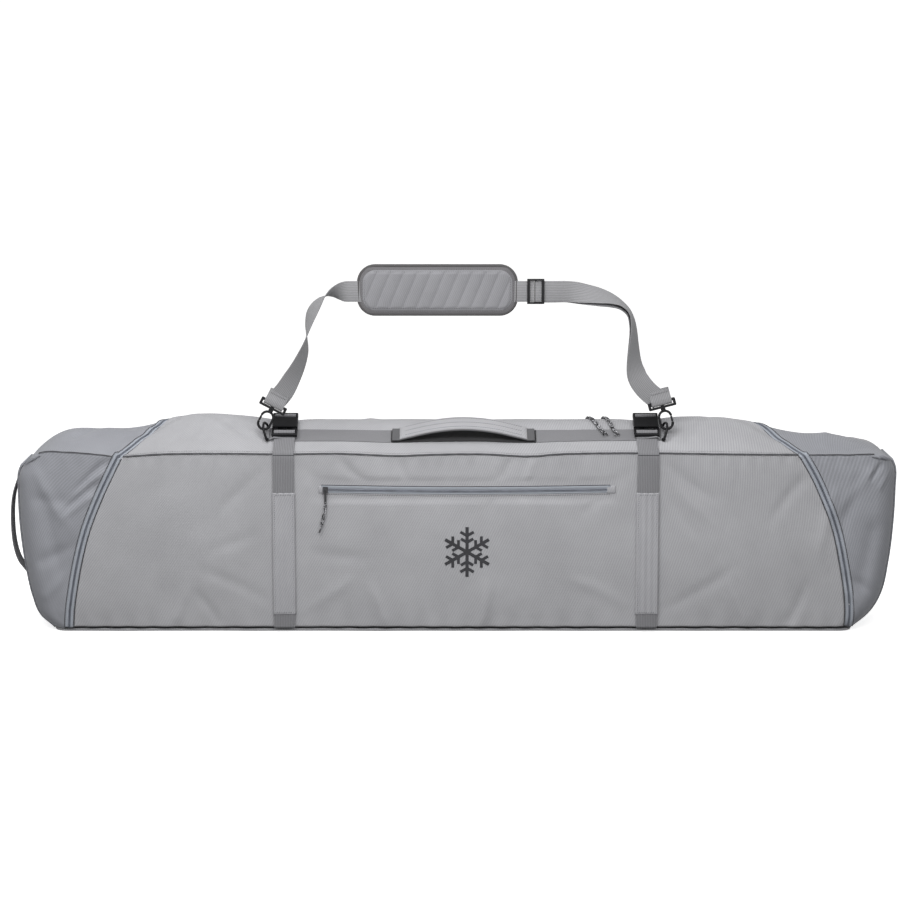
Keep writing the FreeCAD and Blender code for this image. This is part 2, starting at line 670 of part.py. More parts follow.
LEFT_WEBBING_OUTER = [(-336, 426.5), (-311, 448), (-295, 473), (-277, 506), (-269, 528), (-264, 557),
                      (-261, 578), (-255, 596), (-244, 608), (-224, 622), (-200, 640), (152, 640)]
LEFT_WEBBING_INNER = [(152, 602), (-200, 602), (-228, 604), (-241, 577), (-252, 540), (-257, 503),
                      (-268, 475), (-276, 450), (-286, 430), (-302.3, 409)]
RIGHT_WEBBING_OUTER = [(154.5, 640), (212, 640), (245, 633), (270, 626), (290, 617), (311, 605), (326, 597),
                       (335, 585), (339, 557), (343, 528), (349, 494), (360, 466), (375, 446), (403, 425.5)]
RIGHT_WEBBING_INNER = [(366.5, 416), (346, 428), (329, 446), (319, 464), (319, 482), (324, 515), (327, 548),
                       (323, 575), (306, 593), (290, 600), (262, 600), (212, 602), (154.5, 602)]


def strap_webbing(side, outer, inner):
    """Shoulder-strap webbing in the strap's plane, looped round its end bar."""
    corners = []
    for across, up in outer + inner:
        corners.append((at(across), at(up)))
    band = outline_body("strap_band_" + side, "XZ_Plane", corners, ("webbing_thickness", 0),
                        (at(0), ("strap_plane", 1), at(0)))
    turn = tilt_of(side)
    lengthwise = turn.multiply(FreeCAD.Rotation(FreeCAD.Vector(0, 1, 0), 90))
    middle = turn.multVec(FreeCAD.Vector(-19, 0, 44.2))
    base = ((side + "_hook", middle.x), ("strap_plane", 0), ("hook_height", middle.z))
    wrap = rod("strap_wrap_" + side, base, at(5.2), ("webbing_width", 0), lengthwise)
    corner = turn.multVec(FreeCAD.Vector(-26, -4.1, 41.5))
    base = ((side + "_hook", corner.x), ("strap_plane", corner.y), ("hook_height", corner.z))
    slot = box("strap_slot_" + side, base, (at(52), at(8.2), at(5.2)), turn)
    keep(cut("strap_webbing_" + side, joined("strap_with_wrap_" + side, [band, wrap]), slot))


def tri_glide():
    """Adjuster: two front bars and one rear bar between an upper and a lower rail."""
    plane = "strap_plane"
    middle = "strap_middle"
    pieces = []
    for name, up in (("low", -22.6), ("high", 19.5)):
        pieces.append(box("glide_rail_" + name, (("glide_left", 0), (plane, -4.1), (middle, up)),
                          (at(31), at(8.2), at(3.1))))
    for name, across, back in (("left", 0, -4.1), ("right", 26, -4.1), ("middle", 13, 1.6)):
        pieces.append(box("glide_bar_" + name, (("glide_left", across), (plane, back), (middle, -21)),
                          (at(5), at(2.5), at(42))))
    keep(joined("tri_glide", pieces))


def shoulder_pad():
    """Sliding shoulder pad: a cushioned back with a tunnel and a quilted front."""
    back = box("pad_block", (("pad_left", 0), ("strap_plane", -2.2), ("pad_foot", 0)),
               (("pad_length", 0), at(11), ("pad_height", 0)))
    back = rounded("pad_block_round", back, 30.0, runs_along(1))
    tunnel = box("pad_tunnel", (("pad_left", -2), ("strap_plane", -4), ("strap_middle", -19.6)),
                 (("pad_length", 4), at(5.5), at(39.2)))
    keep(cut("shoulder_pad_back", back, tunnel))
    face = box("pad_face_block", (("pad_left", 6), ("strap_plane", -5.6), ("pad_foot", 8)),
               (("pad_length", -12), at(3.3), ("pad_height", -16)))
    face = rounded("shoulder_pad_face", face, 22.0, runs_along(1))
    keep(face)


# ---------------------------------------------------------------- sliders and pulls

REAR_PITCH = FreeCAD.Rotation(FreeCAD.Vector(1, 0, 0), -29.74)


def main_slider(side):
    """Main zip slider riding over the coil behind the crown, with its bail."""
    plate = box("main_slider_plate_" + side, (at(-6.5), at(-5.5), at(2.3)), (at(13), at(11), at(2.0)))
    plate = rounded("main_slider_round_" + side, plate, 2.4, runs_along(2))
    bail = bow("main_slider_bail_" + side, (at(0), at(0), at(4.0)), at(4.2), at(0.9),
               FreeCAD.Rotation(FreeCAD.Vector(1, 0, 0), 90))
    slider = joined("main_slider_" + side, [plate, bail])
    move_to(slider, (("slider_" + side, 0), ("zip_line", 0), ("crown_height", -9.714)), REAR_PITCH)
    keep(slider)


def cord_path(points):
    """Straight runs joined by tangent arcs, with the radius of every arc."""
    edges = []
    radii = []
    start = points[0]
    for index in range(1, len(points) - 1):
        corner = points[index]
        into = corner.sub(points[index - 1])
        away = points[index + 1].sub(corner)
        shorter = min(into.Length, away.Length)
        turn = into.getAngle(away)
        trim = 0.45 * shorter
        radii.append(trim / math.tan(turn / 2))
        into.normalize()
        away.normalize()
        first = corner - into * trim
        last = corner + away * trim
        bisector = away - into
        bisector.normalize()
        sagitta = radii[-1] / math.cos(turn / 2) - radii[-1]
        middle = corner + bisector * sagitta
        edges.append(Part.LineSegment(start, first).toShape())
        edges.append(Part.Arc(first, middle, last).toShape())
        start = last
    edges.append(Part.LineSegment(start, points[-1]).toShape())
    return Part.Wire(edges), radii


def cord(label, points, radius_alias):
    """Round cord along a hand-chosen route; its radius comes from the sheet."""
    radius = size(radius_alias)
    route = [FreeCAD.Vector(*point) for point in points]
    wire, radii = cord_path(route)
    direction = route[1].sub(route[0])
    circle = Part.Wire([Part.makeCircle(radius, route[0], direction)])
    solid = wire.makePipeShell([circle], True, True)
    expected = math.pi * radius * radius * wire.Length
    print("cord %-22s length %6.1f least radius %5.1f volume share %.4f" % (
        label, wire.Length, min(radii), solid.Volume / expected))
    item = doc.addObject("Part::Feature", label)
    item.Label = label
    item.Shape = solid
    item.Placement = FreeCAD.Placement()
    keep(item)


MAIN_LEFT_CORDS = (
    ((256.2, 38.5, 373.2), (257.5, 28.0, 379.6), (260.5, 12.0, 381.2), (265.0, -5.0, 380.4),
     (271.0, -20.0, 373.8), (277.5, -34.0, 366.0)),
    ((252.6, 38.3, 373.2), (253.4, 28.5, 379.8), (256.0, 12.6, 381.4), (260.6, -4.4, 380.9),
     (267.0, -19.8, 374.3), (273.9, -34.2, 366.3)))
MAIN_RIGHT_CORDS = (
    ((284.8, 38.5, 373.2), (286.5, 28.0, 379.6), (289.5, 12.0, 381.2), (292.6, -5.0, 380.4),
     (296.8, -20.0, 373.8), (301.0, -34.0, 366.0)),
    ((281.2, 38.3, 373.2), (282.4, 28.5, 379.8), (285.2, 12.6, 381.4), (288.6, -4.4, 380.9),
     (292.8, -19.8, 374.3), (297.2, -34.2, 366.3)))
POCKET_CORDS = (
    ((-224.4, -100.6, 237.0), (-225.4, -101.6, 226.6), (-227.6, -101.4, 216.2), (-230.4, -100.6, 206.0)),
    ((-227.4, -100.4, 237.2), (-228.8, -101.4, 226.6), (-231.2, -101.2, 216.2), (-233.6, -100.4, 206.0)))


def pull_knot(label, base, ahead, radius, length, tail, wire):
    """Overhand knot at a cord's end with its two short tails."""
    forward = FreeCAD.Vector(*ahead)
    forward.normalize()
    turn = FreeCAD.Rotation(FreeCAD.Vector(0, 0, 1), forward)
    pieces = [rod(label + "_core", (at(0), at(0), at(0)), at(radius), at(length))]
    for index, spread in enumerate((-1, 1)):
        swing = FreeCAD.Rotation(FreeCAD.Vector(0, 1, 0), 9.0 * spread)
        pieces.append(rod(label + "_tail_%d" % index, (at(wire * 1.1 * spread), at(0), at(length - 2)),
                          at(wire), at(tail), swing))
    knot = joined(label, pieces)
    move_to(knot, (at(base[0]), at(base[1]), at(base[2])), turn)
    keep(knot)


def pocket_slider():
    """Pocket zip slider with its bail; the pull tab hangs from it."""
    plate = box("pocket_slider_plate", (("pocket_left", 2), ("front_face", -4.2), ("pocket_height", -5)),
                (at(10), at(2.3), at(11)))
    plate = rounded("pocket_slider_round", plate, 2.0, runs_along(1))
    turn = FreeCAD.Rotation(FreeCAD.Vector(0, 0, 1), FreeCAD.Vector(0, -1, 0),
                            FreeCAD.Vector(1, 0, 0), "XYZ")
    bail = bow("pocket_slider_bail", (("pocket_left", 7), ("front_face", -4.0), ("pocket_height", 1)),
               at(3.4), at(0.7), turn)
    keep(joined("pocket_slider", [plate, bail]))


def pocket_tab():
    """Flat metal tab through the slider's bail, bored at its foot for the cord."""
    plate = box("pocket_tab_plate", (("pocket_left", 5), ("front_face", -5.85), ("pocket_height", -25)),
                (at(4), at(1.0), at(26.5)))
    eye = box("pocket_tab_eye", (("pocket_left", 5.9), ("front_face", -8), ("pocket_height", -3.9)),
              (at(2.2), at(4), at(4.4)))
    foot = box("pocket_tab_foot_hole", (("pocket_left", 5.9), ("front_face", -8), ("pocket_height", -23.6)),
               (at(2.2), at(4), at(2.6)))
    keep(cut("pocket_tab", plate, joined("pocket_tab_holes", [eye, foot])))


def pulls():
    """Cord pulls of the three sliders."""
    for side, cords, ahead in (("left", MAIN_LEFT_CORDS, (7.0, -14.5, -7.4)),
                               ("right", MAIN_RIGHT_CORDS, (4.5, -14.5, -7.4))):
        for index, points in enumerate(cords, start=1):
            cord("main_cord_%s_%d" % (side, index), points, "cord_radius")
        base = [(first + second) / 2 for first, second in zip(cords[0][-1], cords[1][-1])]
        base = [amount + step for amount, step in zip(base, (0.45, -1.25, 0.5))]
        pull_knot("main_knot_" + side, base, ahead, 3.0, 6.5, 13.0, 1.5)
    for index, points in enumerate(POCKET_CORDS, start=1):
        cord("pocket_cord_%d" % index, points, "pocket_cord_radius")
    pull_knot("pocket_knot", (-232.1, -100.6, 205.5), (-2.0, 0.2, -9.0), 2.6, 5.5, 16.0, 1.1)


wall_panels()
front_corners()
roof_top = roof_panels()
zip_halves()
seam_piping((front_panel(), roof_top))
pocket()
for strap_side in ("left", "right"):
    front_strap(strap_side)
    top_strap(strap_side)
    rear_strap(strap_side)
    sleeve(strap_side)
    buckle_male(strap_side)
    buckle_female(strap_side)
top_webbing("left", 1, ("grip_left", 317))
top_webbing("right", -1, ("right_ring", -158))
d_ring("left", 1)
d_ring("right", -1)
carry_handle()
end_handle()
for strap_side, gate_sign in (("left", -1), ("right", 1)):
    snap_hook(strap_side, gate_sign)
    snap_gate(strap_side, gate_sign)
    webbing_loop(strap_side)
strap_webbing("left", LEFT_WEBBING_OUTER, LEFT_WEBBING_INNER)
strap_webbing("right", RIGHT_WEBBING_OUTER, RIGHT_WEBBING_INNER)
tri_glide()
shoulder_pad()
main_slider("left")
main_slider("right")
pocket_slider()
pocket_tab()
pulls()


# ---------------------------------------------------------------- checks and export

def check_and_export():
    """Recompute, test every object and write one file per piece."""
    doc.recompute()
    for item in doc.Objects:
        if "Invalid" in item.State or "Error" in item.State:
            raise RuntimeError("bad state: " + item.Label)
    for item in EXPORTS:
        shape = item.Shape
        if shape.isNull() or not shape.isValid() or not shape.Solids:
            raise RuntimeError("bad shape: " + item.Label)
        bounds = shape.BoundBox
        print("%-24s solids %d volume %10.1f  x %8.1f %8.1f  y %7.1f %7.1f  z %7.1f %7.1f" % (
            item.Label, len(shape.Solids), shape.Volume, bounds.XMin, bounds.XMax,
            bounds.YMin, bounds.YMax, bounds.ZMin, bounds.ZMax))
        shape.exportStep("parts/" + item.Label + ".step")
    print("pieces:", len(EXPORTS))


check_and_export()
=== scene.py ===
import bpy
import numpy as np
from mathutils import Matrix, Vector


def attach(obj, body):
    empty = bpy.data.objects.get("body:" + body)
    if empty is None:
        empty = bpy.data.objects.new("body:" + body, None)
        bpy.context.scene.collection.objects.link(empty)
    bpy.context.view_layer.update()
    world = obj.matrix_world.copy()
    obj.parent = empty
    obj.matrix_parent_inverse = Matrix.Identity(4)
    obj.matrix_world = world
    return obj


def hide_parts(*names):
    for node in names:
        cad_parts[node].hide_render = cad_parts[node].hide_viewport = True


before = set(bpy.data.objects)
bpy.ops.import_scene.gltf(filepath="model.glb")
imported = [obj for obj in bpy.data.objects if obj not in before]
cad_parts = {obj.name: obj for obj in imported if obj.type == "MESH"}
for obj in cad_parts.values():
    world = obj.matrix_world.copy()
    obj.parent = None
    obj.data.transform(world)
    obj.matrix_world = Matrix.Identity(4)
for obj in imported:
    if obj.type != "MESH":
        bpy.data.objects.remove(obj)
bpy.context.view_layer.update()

# Snowboard bag in metres: X along the bag, -Y the zipped front, +Z up.

FRONT = -0.095
REAR = 0.095
ZIP_Y = 0.042
SEAM_Z = 0.329
FOOT_Z = 0.004
LEFT_SEAM_Z = 0.325
RIGHT_SEAM_Z = 0.328
LEFT_RADIUS = 0.034
RIGHT_RADIUS = 0.038
SKIN = 0.004
GAP = 0.0080
WEB = 0.038
HALF_WEB_MM = 19.0
LEFT_STRAP = -0.302
RIGHT_STRAP = 0.359
SLOPE = np.array([0.0, 0.890454, 0.455073])
SLOPE_UP = np.array([0.0, -0.455073, 0.890454])
FACING = np.array([0.0, -1.0, 0.0])
ROOF_BASE = np.array([0.0, FRONT, SEAM_Z])


# ---------------------------------------------------------------- shape of the bag

def through(x, xs, ys):
    """Smooth curve through (xs, ys): a cubic Hermite span between neighbours with averaged slopes."""
    xs = np.asarray(xs, float)
    ys = np.asarray(ys, float)
    x = np.clip(np.asarray(x, float), xs[0], xs[-1])
    secant = np.diff(ys) / np.diff(xs)
    slope = np.concatenate([secant[:1], (secant[1:] + secant[:-1]) / 2, secant[-1:]])
    span = np.clip(np.searchsorted(xs, x, side="right") - 1, 0, len(xs) - 2)
    width = xs[span + 1] - xs[span]
    share = (x - xs[span]) / width
    two = share * share
    three = two * share
    low = ys[span] * (2 * three - 3 * two + 1) + slope[span] * width * (three - 2 * two + share)
    high = ys[span + 1] * (3 * two - 2 * three) + slope[span + 1] * width * (three - two)
    return low + high


def step(x, low, high):
    """Smooth step from 0 at low to 1 at high."""
    share = np.clip((x - low) / (high - low), 0.0, 1.0)
    return share * share * (3 - 2 * share)


def near(x, middle, reach):
    """Bell that is 1 at the middle and falls off over the reach."""
    return np.exp(-((x - middle) / reach) ** 2)


def left_edge(z):
    """X of the bag's left end at each height."""
    return through(z, [-0.01, 0.008, 0.026, 0.060, 0.107, 0.190, 0.262, 0.290, 0.306, 0.34],
                   [-0.712, -0.730, -0.750, -0.764, -0.774, -0.784, -0.786, -0.785, -0.779, -0.770])


def right_edge(z):
    """X of the bag's right end at each height."""
    return through(z, [-0.01, 0.008, 0.030, 0.062, 0.127, 0.200, 0.262, 0.300, 0.318, 0.34],
                   [0.715, 0.742, 0.768, 0.788, 0.802, 0.809, 0.811, 0.8105, 0.803, 0.795])


def seam_height(x):
    """Height of the piped seam between the front and the roof."""
    return through(x, [-0.79, -0.778, -0.762, -0.742, -0.695, -0.640, -0.605, -0.520, -0.400, -0.302,
                       -0.200, -0.090, -0.040, 0.060, 0.145, 0.200, 0.359, 0.500, 0.640, 0.720,
                       0.785, 0.803, 0.815],
                   [0.298, 0.304, 0.320, 0.332, 0.333, 0.329, 0.325, 0.329, 0.330, 0.329,
                    0.330, 0.326, 0.328, 0.329, 0.325, 0.329, 0.331, 0.329, 0.328, 0.328,
                    0.326, 0.316, 0.304])


def crown_height(x):
    """Height of the roof's crown."""
    return through(x, [-0.79, -0.778, -0.758, -0.735, -0.704, -0.650, -0.595, -0.550, -0.505, -0.454,
                       -0.390, -0.330, -0.280, -0.100, 0.150, 0.320, 0.359, 0.430, 0.500, 0.552,
                       0.600, 0.650, 0.700, 0.735, 0.790, 0.803, 0.815],
                   [0.300, 0.306, 0.327, 0.344, 0.355, 0.357, 0.357, 0.364, 0.378, 0.384,
                    0.381, 0.376, 0.374, 0.373, 0.373, 0.374, 0.375, 0.378, 0.377, 0.370,
                    0.356, 0.348, 0.347, 0.342, 0.326, 0.316, 0.302])


ROOF_SHARES = [0.0, 0.1, 0.2, 0.3, 0.38, 0.44, 0.5, 0.56, 0.62, 0.7, 0.8, 0.9, 1.0]
ROOF_RISE = [0.0, 0.205, 0.415, 0.625, 0.785, 0.895, 0.968, 0.998, 0.975, 0.87, 0.64, 0.38, 0.10]


def ripple(a, b, seed, scale):
    """Slow cloth unevenness: a sum of crossed waves whose angles come from a fixed seed."""
    random = np.random.default_rng(seed)
    total = np.zeros(np.broadcast(a, b).shape)
    for _ in range(9):
        angle = random.uniform(0, np.pi)
        size = scale * random.uniform(0.6, 2.2)
        phase = random.uniform(0, 2 * np.pi)
        wave = np.sin((a * np.cos(angle) + b * np.sin(angle)) * 2 * np.pi / size + phase)
        total = total + wave * size / scale
    return total / 12.0


def creases(x, z, anchors):
    """Folds that fan out of anchor points: each is a narrow ridge along its own direction."""
    total = np.zeros(np.broadcast(x, z).shape)
    for ax, az, angle, length, width, height in anchors:
        along = (x - ax) * np.cos(angle) + (z - az) * np.sin(angle)
        across = -(x - ax) * np.sin(angle) + (z - az) * np.cos(angle)
        bend = 0.12 * along * along / length
        body = np.exp(-((across - bend) / width) ** 2)
        fade = step(along, -0.15 * length, 0.1 * length) * (1 - step(along, 0.45 * length, length))
        total = total + height * body * fade
    return total


FRONT_CREASES = [
    (-0.622, 0.316, -2.44, 0.120, 0.0075, -0.0050), (-0.630, 0.298, -2.50, 0.115, 0.0070, 0.0040),
    (-0.640, 0.276, -2.52, 0.100, 0.0070, -0.0036), (-0.650, 0.252, -2.60, 0.080, 0.0080, 0.0030),
    (-0.752, 0.300, -1.15, 0.150, 0.0110, 0.0034), (-0.735, 0.235, -1.45, 0.160, 0.0130, -0.0030),
    (-0.752, 0.130, 0.35, 0.10, 0.012, -0.0032), (-0.760, 0.250, -0.2, 0.11, 0.013, -0.0026),
    (-0.745, 0.060, 0.75, 0.09, 0.010, 0.0028), (0.783, 0.312, -2.25, 0.045, 0.0050, -0.0065),
    (0.800, 0.300, -2.2, 0.050, 0.0050, 0.0050), (0.768, 0.300, -2.35, 0.120, 0.0110, 0.0036),
    (0.745, 0.285, -2.0, 0.140, 0.0120, -0.0036), (0.700, 0.262, -1.9, 0.150, 0.0110, 0.0028),
    (0.775, 0.200, -1.85, 0.160, 0.0160, -0.0045), (0.785, 0.060, 2.4, 0.090, 0.0100, -0.0040),
    (0.760, 0.030, 2.1, 0.080, 0.0090, 0.0030), (0.640, 0.285, -2.3, 0.120, 0.0110, -0.0024),
    (-0.335, 0.300, -2.5, 0.15, 0.012, -0.0026), (-0.272, 0.305, -0.7, 0.13, 0.012, -0.0026),
    (-0.262, 0.268, -0.35, 0.12, 0.011, 0.0022), (-0.200, 0.318, -0.80, 0.12, 0.010, -0.0026),
    (-0.350, 0.180, -2.9, 0.12, 0.012, -0.0018), (-0.255, 0.150, -0.2, 0.13, 0.012, -0.0018),
    (-0.335, 0.060, 2.6, 0.16, 0.012, -0.0024), (-0.270, 0.040, 0.5, 0.15, 0.012, 0.0024),
    (0.325, 0.295, -2.5, 0.15, 0.012, -0.0026), (0.392, 0.312, -0.75, 0.13, 0.010, -0.0030),
    (0.395, 0.285, -0.9, 0.14, 0.010, 0.0026), (0.395, 0.250, -1.0, 0.12, 0.010, -0.0024),
    (0.325, 0.050, 2.6, 0.15, 0.012, 0.0024), (0.395, 0.045, 0.45, 0.17, 0.012, -0.0026),
    (0.110, 0.318, -2.1, 0.12, 0.010, -0.0022), (0.150, 0.316, -1.9, 0.10, 0.009, 0.0020),
    (-0.090, 0.316, -1.3, 0.10, 0.010, -0.0020), (0.220, 0.318, -1.5, 0.11, 0.010, -0.0020),
    (-0.500, 0.020, 1.2, 0.10, 0.010, 0.0026), (-0.120, 0.018, 1.8, 0.09, 0.010, 0.0024),
    (0.060, 0.018, 1.35, 0.10, 0.010, 0.0024), (0.540, 0.018, 1.9, 0.10, 0.010, 0.0026),
    (-0.420, 0.015, 2.1, 0.09, 0.010, -0.0022), (0.620, 0.018, 1.1, 0.10, 0.010, -0.0024),
]


def front_out(x, z):
    """How far the front stands out from its plane: padding, straps pulled in, folds and hems."""
    height = np.clip(z / SEAM_Z, 0, 1)
    belly = 0.0038 * np.sin(np.pi * height) ** 0.7
    pulled = near(x, LEFT_STRAP, 0.060) + near(x, RIGHT_STRAP, 0.060)
    out = belly * (1 - 0.75 * np.clip(pulled, 0, 1))
    out = out + 0.0016 * ripple(x, z, 5, 0.22) + 0.0007 * ripple(x, z, 8, 0.07)
    out = out + creases(x, z, FRONT_CREASES)
    out = out + 0.0012 * np.sin(x * 2 * np.pi / 0.047 + 2 * np.sin(x * 9)) * near(z, 0.012, 0.022)
    lean = x + 0.25 * (SEAM_Z - z)
    gathers = ripple(lean, 0.12 * z, 17, 0.016) * step(ripple(x, 0.3 * z, 19, 0.10), -0.35, 0.35)
    shallow = 0.25 + 0.75 * np.exp(-np.abs(z - 0.318) / 0.045)
    out = out + 0.0007 * gathers * shallow * step(z, 0.012, 0.060)
    out = out + 0.0008 * np.sin(x * 2 * np.pi / 0.031 + np.sin(x * 21)) * near(z, 0.326, 0.014)
    pocket = step(z, 0.236, 0.250) * (1 - step(z, 0.278, 0.292)) * step(x, -0.262, -0.242)
    pocket = pocket * (1 - step(x, 0.296, 0.316))
    pulled = np.clip(pulled, 0, 1) ** 0.5
    return out * (1 - 0.9 * pocket) * (1 - 0.8 * pulled)


def corner_back(distance, radius):
    """Set-back of a rounded edge at a distance in from it."""
    inside = np.clip(radius - distance, 0, radius)
    return radius - np.sqrt(np.clip(radius * radius - inside * inside, 0, None))


def front_y(x, z):
    """Y of the bag's front: its plane, padding and the rounded ends and foot."""
    ends = corner_back(x - left_edge(z), LEFT_RADIUS) + corner_back(right_edge(z) - x, RIGHT_RADIUS)
    foot = corner_back(z, 0.012)
    edge = np.clip(np.minimum(x - left_edge(z), right_edge(z) - x) / 0.05, 0, 1)
    return FRONT + ends + foot - front_out(x, z) * step(edge, 0, 1)


def roof_z(x, y):
    """Height of the roof: seam to crown to rear seam, with padding between the straps and folds."""
    share = np.clip((y - FRONT) / (REAR - FRONT), 0, 1)
    seam = seam_height(x)
    rise = through(share, ROOF_SHARES, ROOF_RISE)
    free = 1 - near(x, LEFT_STRAP, 0.035) - near(x, RIGHT_STRAP, 0.035)
    webbing = near(share, 0.25, 0.16) * step(x, -0.36, -0.33) * (1 - step(x, 0.38, 0.41))
    swell = 0.005 * np.sin(np.pi * share) ** 1.2 * np.clip(free, 0, 1) * (1 - webbing)
    fold = 0.0012 * ripple(x, y, 11, 0.13) * np.sin(np.pi * share)
    fold = fold + creases(x, y, ROOF_CREASES) * (1 - webbing)
    return seam + (crown_height(x) - seam) * rise + (swell + fold) * step(crown_height(x) - seam, 0, 0.03)


ROOF_CREASES = [
    (-0.560, -0.030, 0.5, 0.11, 0.009, -0.0035), (-0.600, 0.010, -0.2, 0.13, 0.010, -0.0032),
    (-0.690, -0.040, 0.9, 0.10, 0.010, -0.0030), (-0.480, -0.060, 1.0, 0.09, 0.010, -0.0024),
    (-0.370, -0.050, 2.4, 0.12, 0.010, -0.0030), (0.430, -0.060, 0.9, 0.12, 0.010, -0.0030),
    (0.600, -0.040, 2.4, 0.11, 0.010, -0.0034), (0.680, -0.030, 1.2, 0.10, 0.010, 0.0030),
    (0.745, -0.060, 0.6, 0.07, 0.009, -0.0040), (-0.150, 0.010, 1.2, 0.09, 0.012, 0.0020),
    (0.220, -0.080, 1.5, 0.08, 0.010, -0.0018), (0.060, 0.020, 1.9, 0.09, 0.012, 0.0018),
]


BOW_HEIGHTS = [0.006, 0.045, 0.085, 0.130, 0.190, 0.250, 0.295, 0.327]
BOW_LEFT = [0.0, 0.0085, 0.0142, 0.0188, 0.0205, 0.0145, 0.0065, 0.0]
BOW_RIGHT = [0.0, 0.0110, 0.0178, 0.0222, 0.0250, 0.0190, 0.0100, 0.0]


def flap_left(z):
    """X of the left zip line at a height on the front: a straight lean bowed outward."""
    return -0.697 + (z - 0.006) / 0.321 * 0.096 - through(z, BOW_HEIGHTS, BOW_LEFT)


def flap_right(z):
    """X of the right zip line at a height on the front: a straight lean bowed outward."""
    return 0.729 - (z - 0.006) / 0.321 * 0.088 + through(z, BOW_HEIGHTS, BOW_RIGHT)


def roof_left(y):
    """X of the left slanted zip line on the roof."""
    share = np.clip((y - FRONT) / (ZIP_Y - FRONT), 0, 1)
    return flap_left(LEFT_SEAM_Z) + (-0.510 - flap_left(LEFT_SEAM_Z)) * share


def roof_right(y):
    """X of the right slanted zip line on the roof."""
    share = np.clip((y - FRONT) / (ZIP_Y - FRONT), 0, 1)
    return flap_right(RIGHT_SEAM_Z) + (0.552 - flap_right(RIGHT_SEAM_Z)) * share


# ---------------------------------------------------------------- mesh building

def spot(x, y, z):
    """Points from their coordinates, each a number or an array."""
    return np.stack(np.broadcast_arrays(x, y, z), -1)


def column(low, high, count):
    """Evenly spaced values down the first axis of a grid."""
    return np.linspace(low, high, count)[:, None]


def row(low, high, count):
    """Evenly spaced values along the second axis of a grid."""
    return np.linspace(low, high, count)[None, :]


def between(low, high, shares):
    """Values at shares of the way between two arrays."""
    return low + (high - low) * shares


def unit(vectors):
    """Vectors brought to length one."""
    return vectors / np.linalg.norm(vectors, axis=-1, keepdims=True)


def run_along(path):
    """Running length at each point of a path."""
    return np.concatenate([[0], np.cumsum(np.linalg.norm(np.diff(path, axis=0), axis=1))])


def read_off(at, run, values):
    """Points or directions given along a path, read off at other running lengths."""
    return np.stack([np.interp(at, run, values[:, axis]) for axis in range(3)], -1)


def curve_through(at, run, points):
    """Smooth curve through points, read off at running lengths."""
    return np.stack([through(at, run, points[:, axis]) for axis in range(3)], -1)


def link(name, vertices, faces, finish, uv=None, smooth=True, node=None):
    """Make an object from whole arrays; finish is body, material and slot, uv one pair per vertex."""
    body, material, slot_name = finish
    mesh = bpy.data.meshes.new(name)
    mesh.from_pydata(vertices.reshape(-1, 3), [], faces)
    mesh.update()
    if uv is not None:
        layer = mesh.uv_layers.new(name="cloth")
        corner = np.zeros(len(mesh.loops), np.int32)
        mesh.loops.foreach_get("vertex_index", corner)
        layer.data.foreach_set("uv", np.asarray(uv, np.float32).reshape(-1, 2)[corner].ravel())
    if smooth:
        mesh.polygons.foreach_set("use_smooth", np.ones(len(mesh.polygons), bool))
    mesh.materials.append(material)
    item = bpy.data.objects.new(name, mesh)
    bpy.context.scene.collection.objects.link(item)
    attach(item, body)
    if node:
        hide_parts(node)
    return item


def grid_faces(rows, columns, offset=0, wrap=False, flip=False):
    """Quads of a grid of rows x columns vertices; wrap closes it across the columns."""
    i = np.arange(rows - 1)[:, None]
    j = np.arange(columns if wrap else columns - 1)[None, :]
    k = (j + 1) % columns
    quads = np.stack([i * columns + j, (i + 1) * columns + j, (i + 1) * columns + k, i * columns + k], -1)
    quads = quads.reshape(-1, 4) + offset
    return quads[:, ::-1] if flip else quads


def normals_of(points):
    """Unit normals of a grid surface: the cross product of its two directions."""
    across = np.gradient(points, axis=0)
    along = np.gradient(points, axis=1)
    square = np.cross(across, along)
    length = np.linalg.norm(square, axis=-1, keepdims=True)
    return square / np.maximum(length, 1e-12)


def lengths_along(points, axis):
    """Running length over a grid in one direction, in metres."""
    stride = np.linalg.norm(np.diff(points, axis=axis), axis=-1)
    stride = np.mean(stride, axis=1 - axis)
    return np.concatenate([[0.0], np.cumsum(stride)])



def lengths_over(points):
    """Running lengths over a grid in both directions, as UV pairs in metres."""
    return np.stack(np.broadcast_arrays(lengths_along(points, 0)[:, None], lengths_along(points, 1)), -1)


def skin_faces(rows, columns, flip=False):
    """Faces of a front and a back grid that are joined all round their rims."""
    count = rows * columns
    faces = [grid_faces(rows, columns, 0, flip=flip), grid_faces(rows, columns, count, flip=not flip)]
    first = np.arange(columns - 1)
    last = (rows - 1) * columns + first
    left = np.arange(rows - 1) * columns
    right = left + columns - 1
    for a, b in ((first, first + 1), (last + 1, last), (left + columns, left), (right, right + columns)):
        rim = np.stack([a, b, b + count, a + count], -1)
        faces.append(rim[:, ::-1] if flip else rim)
    return np.concatenate(faces)


def two_skins(name, front, back, finish, flip=False, node=None):
    """Closed piece from a front and a back grid."""
    uv = lengths_over(front)
    return link(name, np.stack([front, back]), skin_faces(*front.shape[:2], flip), finish,
                uv=np.stack([uv, uv]), node=node)


def slab(name, points, thickness, finish, flip=False, hem=0.0, node=None):
    """Closed sheet with thickness under a grid surface; hem rolls its edges inward by that much."""
    square = normals_of(points)
    if flip:
        square = -square
    if hem > 0:
        u = lengths_along(points, 0)
        v = lengths_along(points, 1)
        gap = np.minimum(np.minimum(u, u[-1] - u)[:, None], np.minimum(v, v[-1] - v)[None, :])
        points = points - square * corner_back(gap, hem)[..., None]
    return two_skins(name, points, points - square * thickness, finish, flip, node)


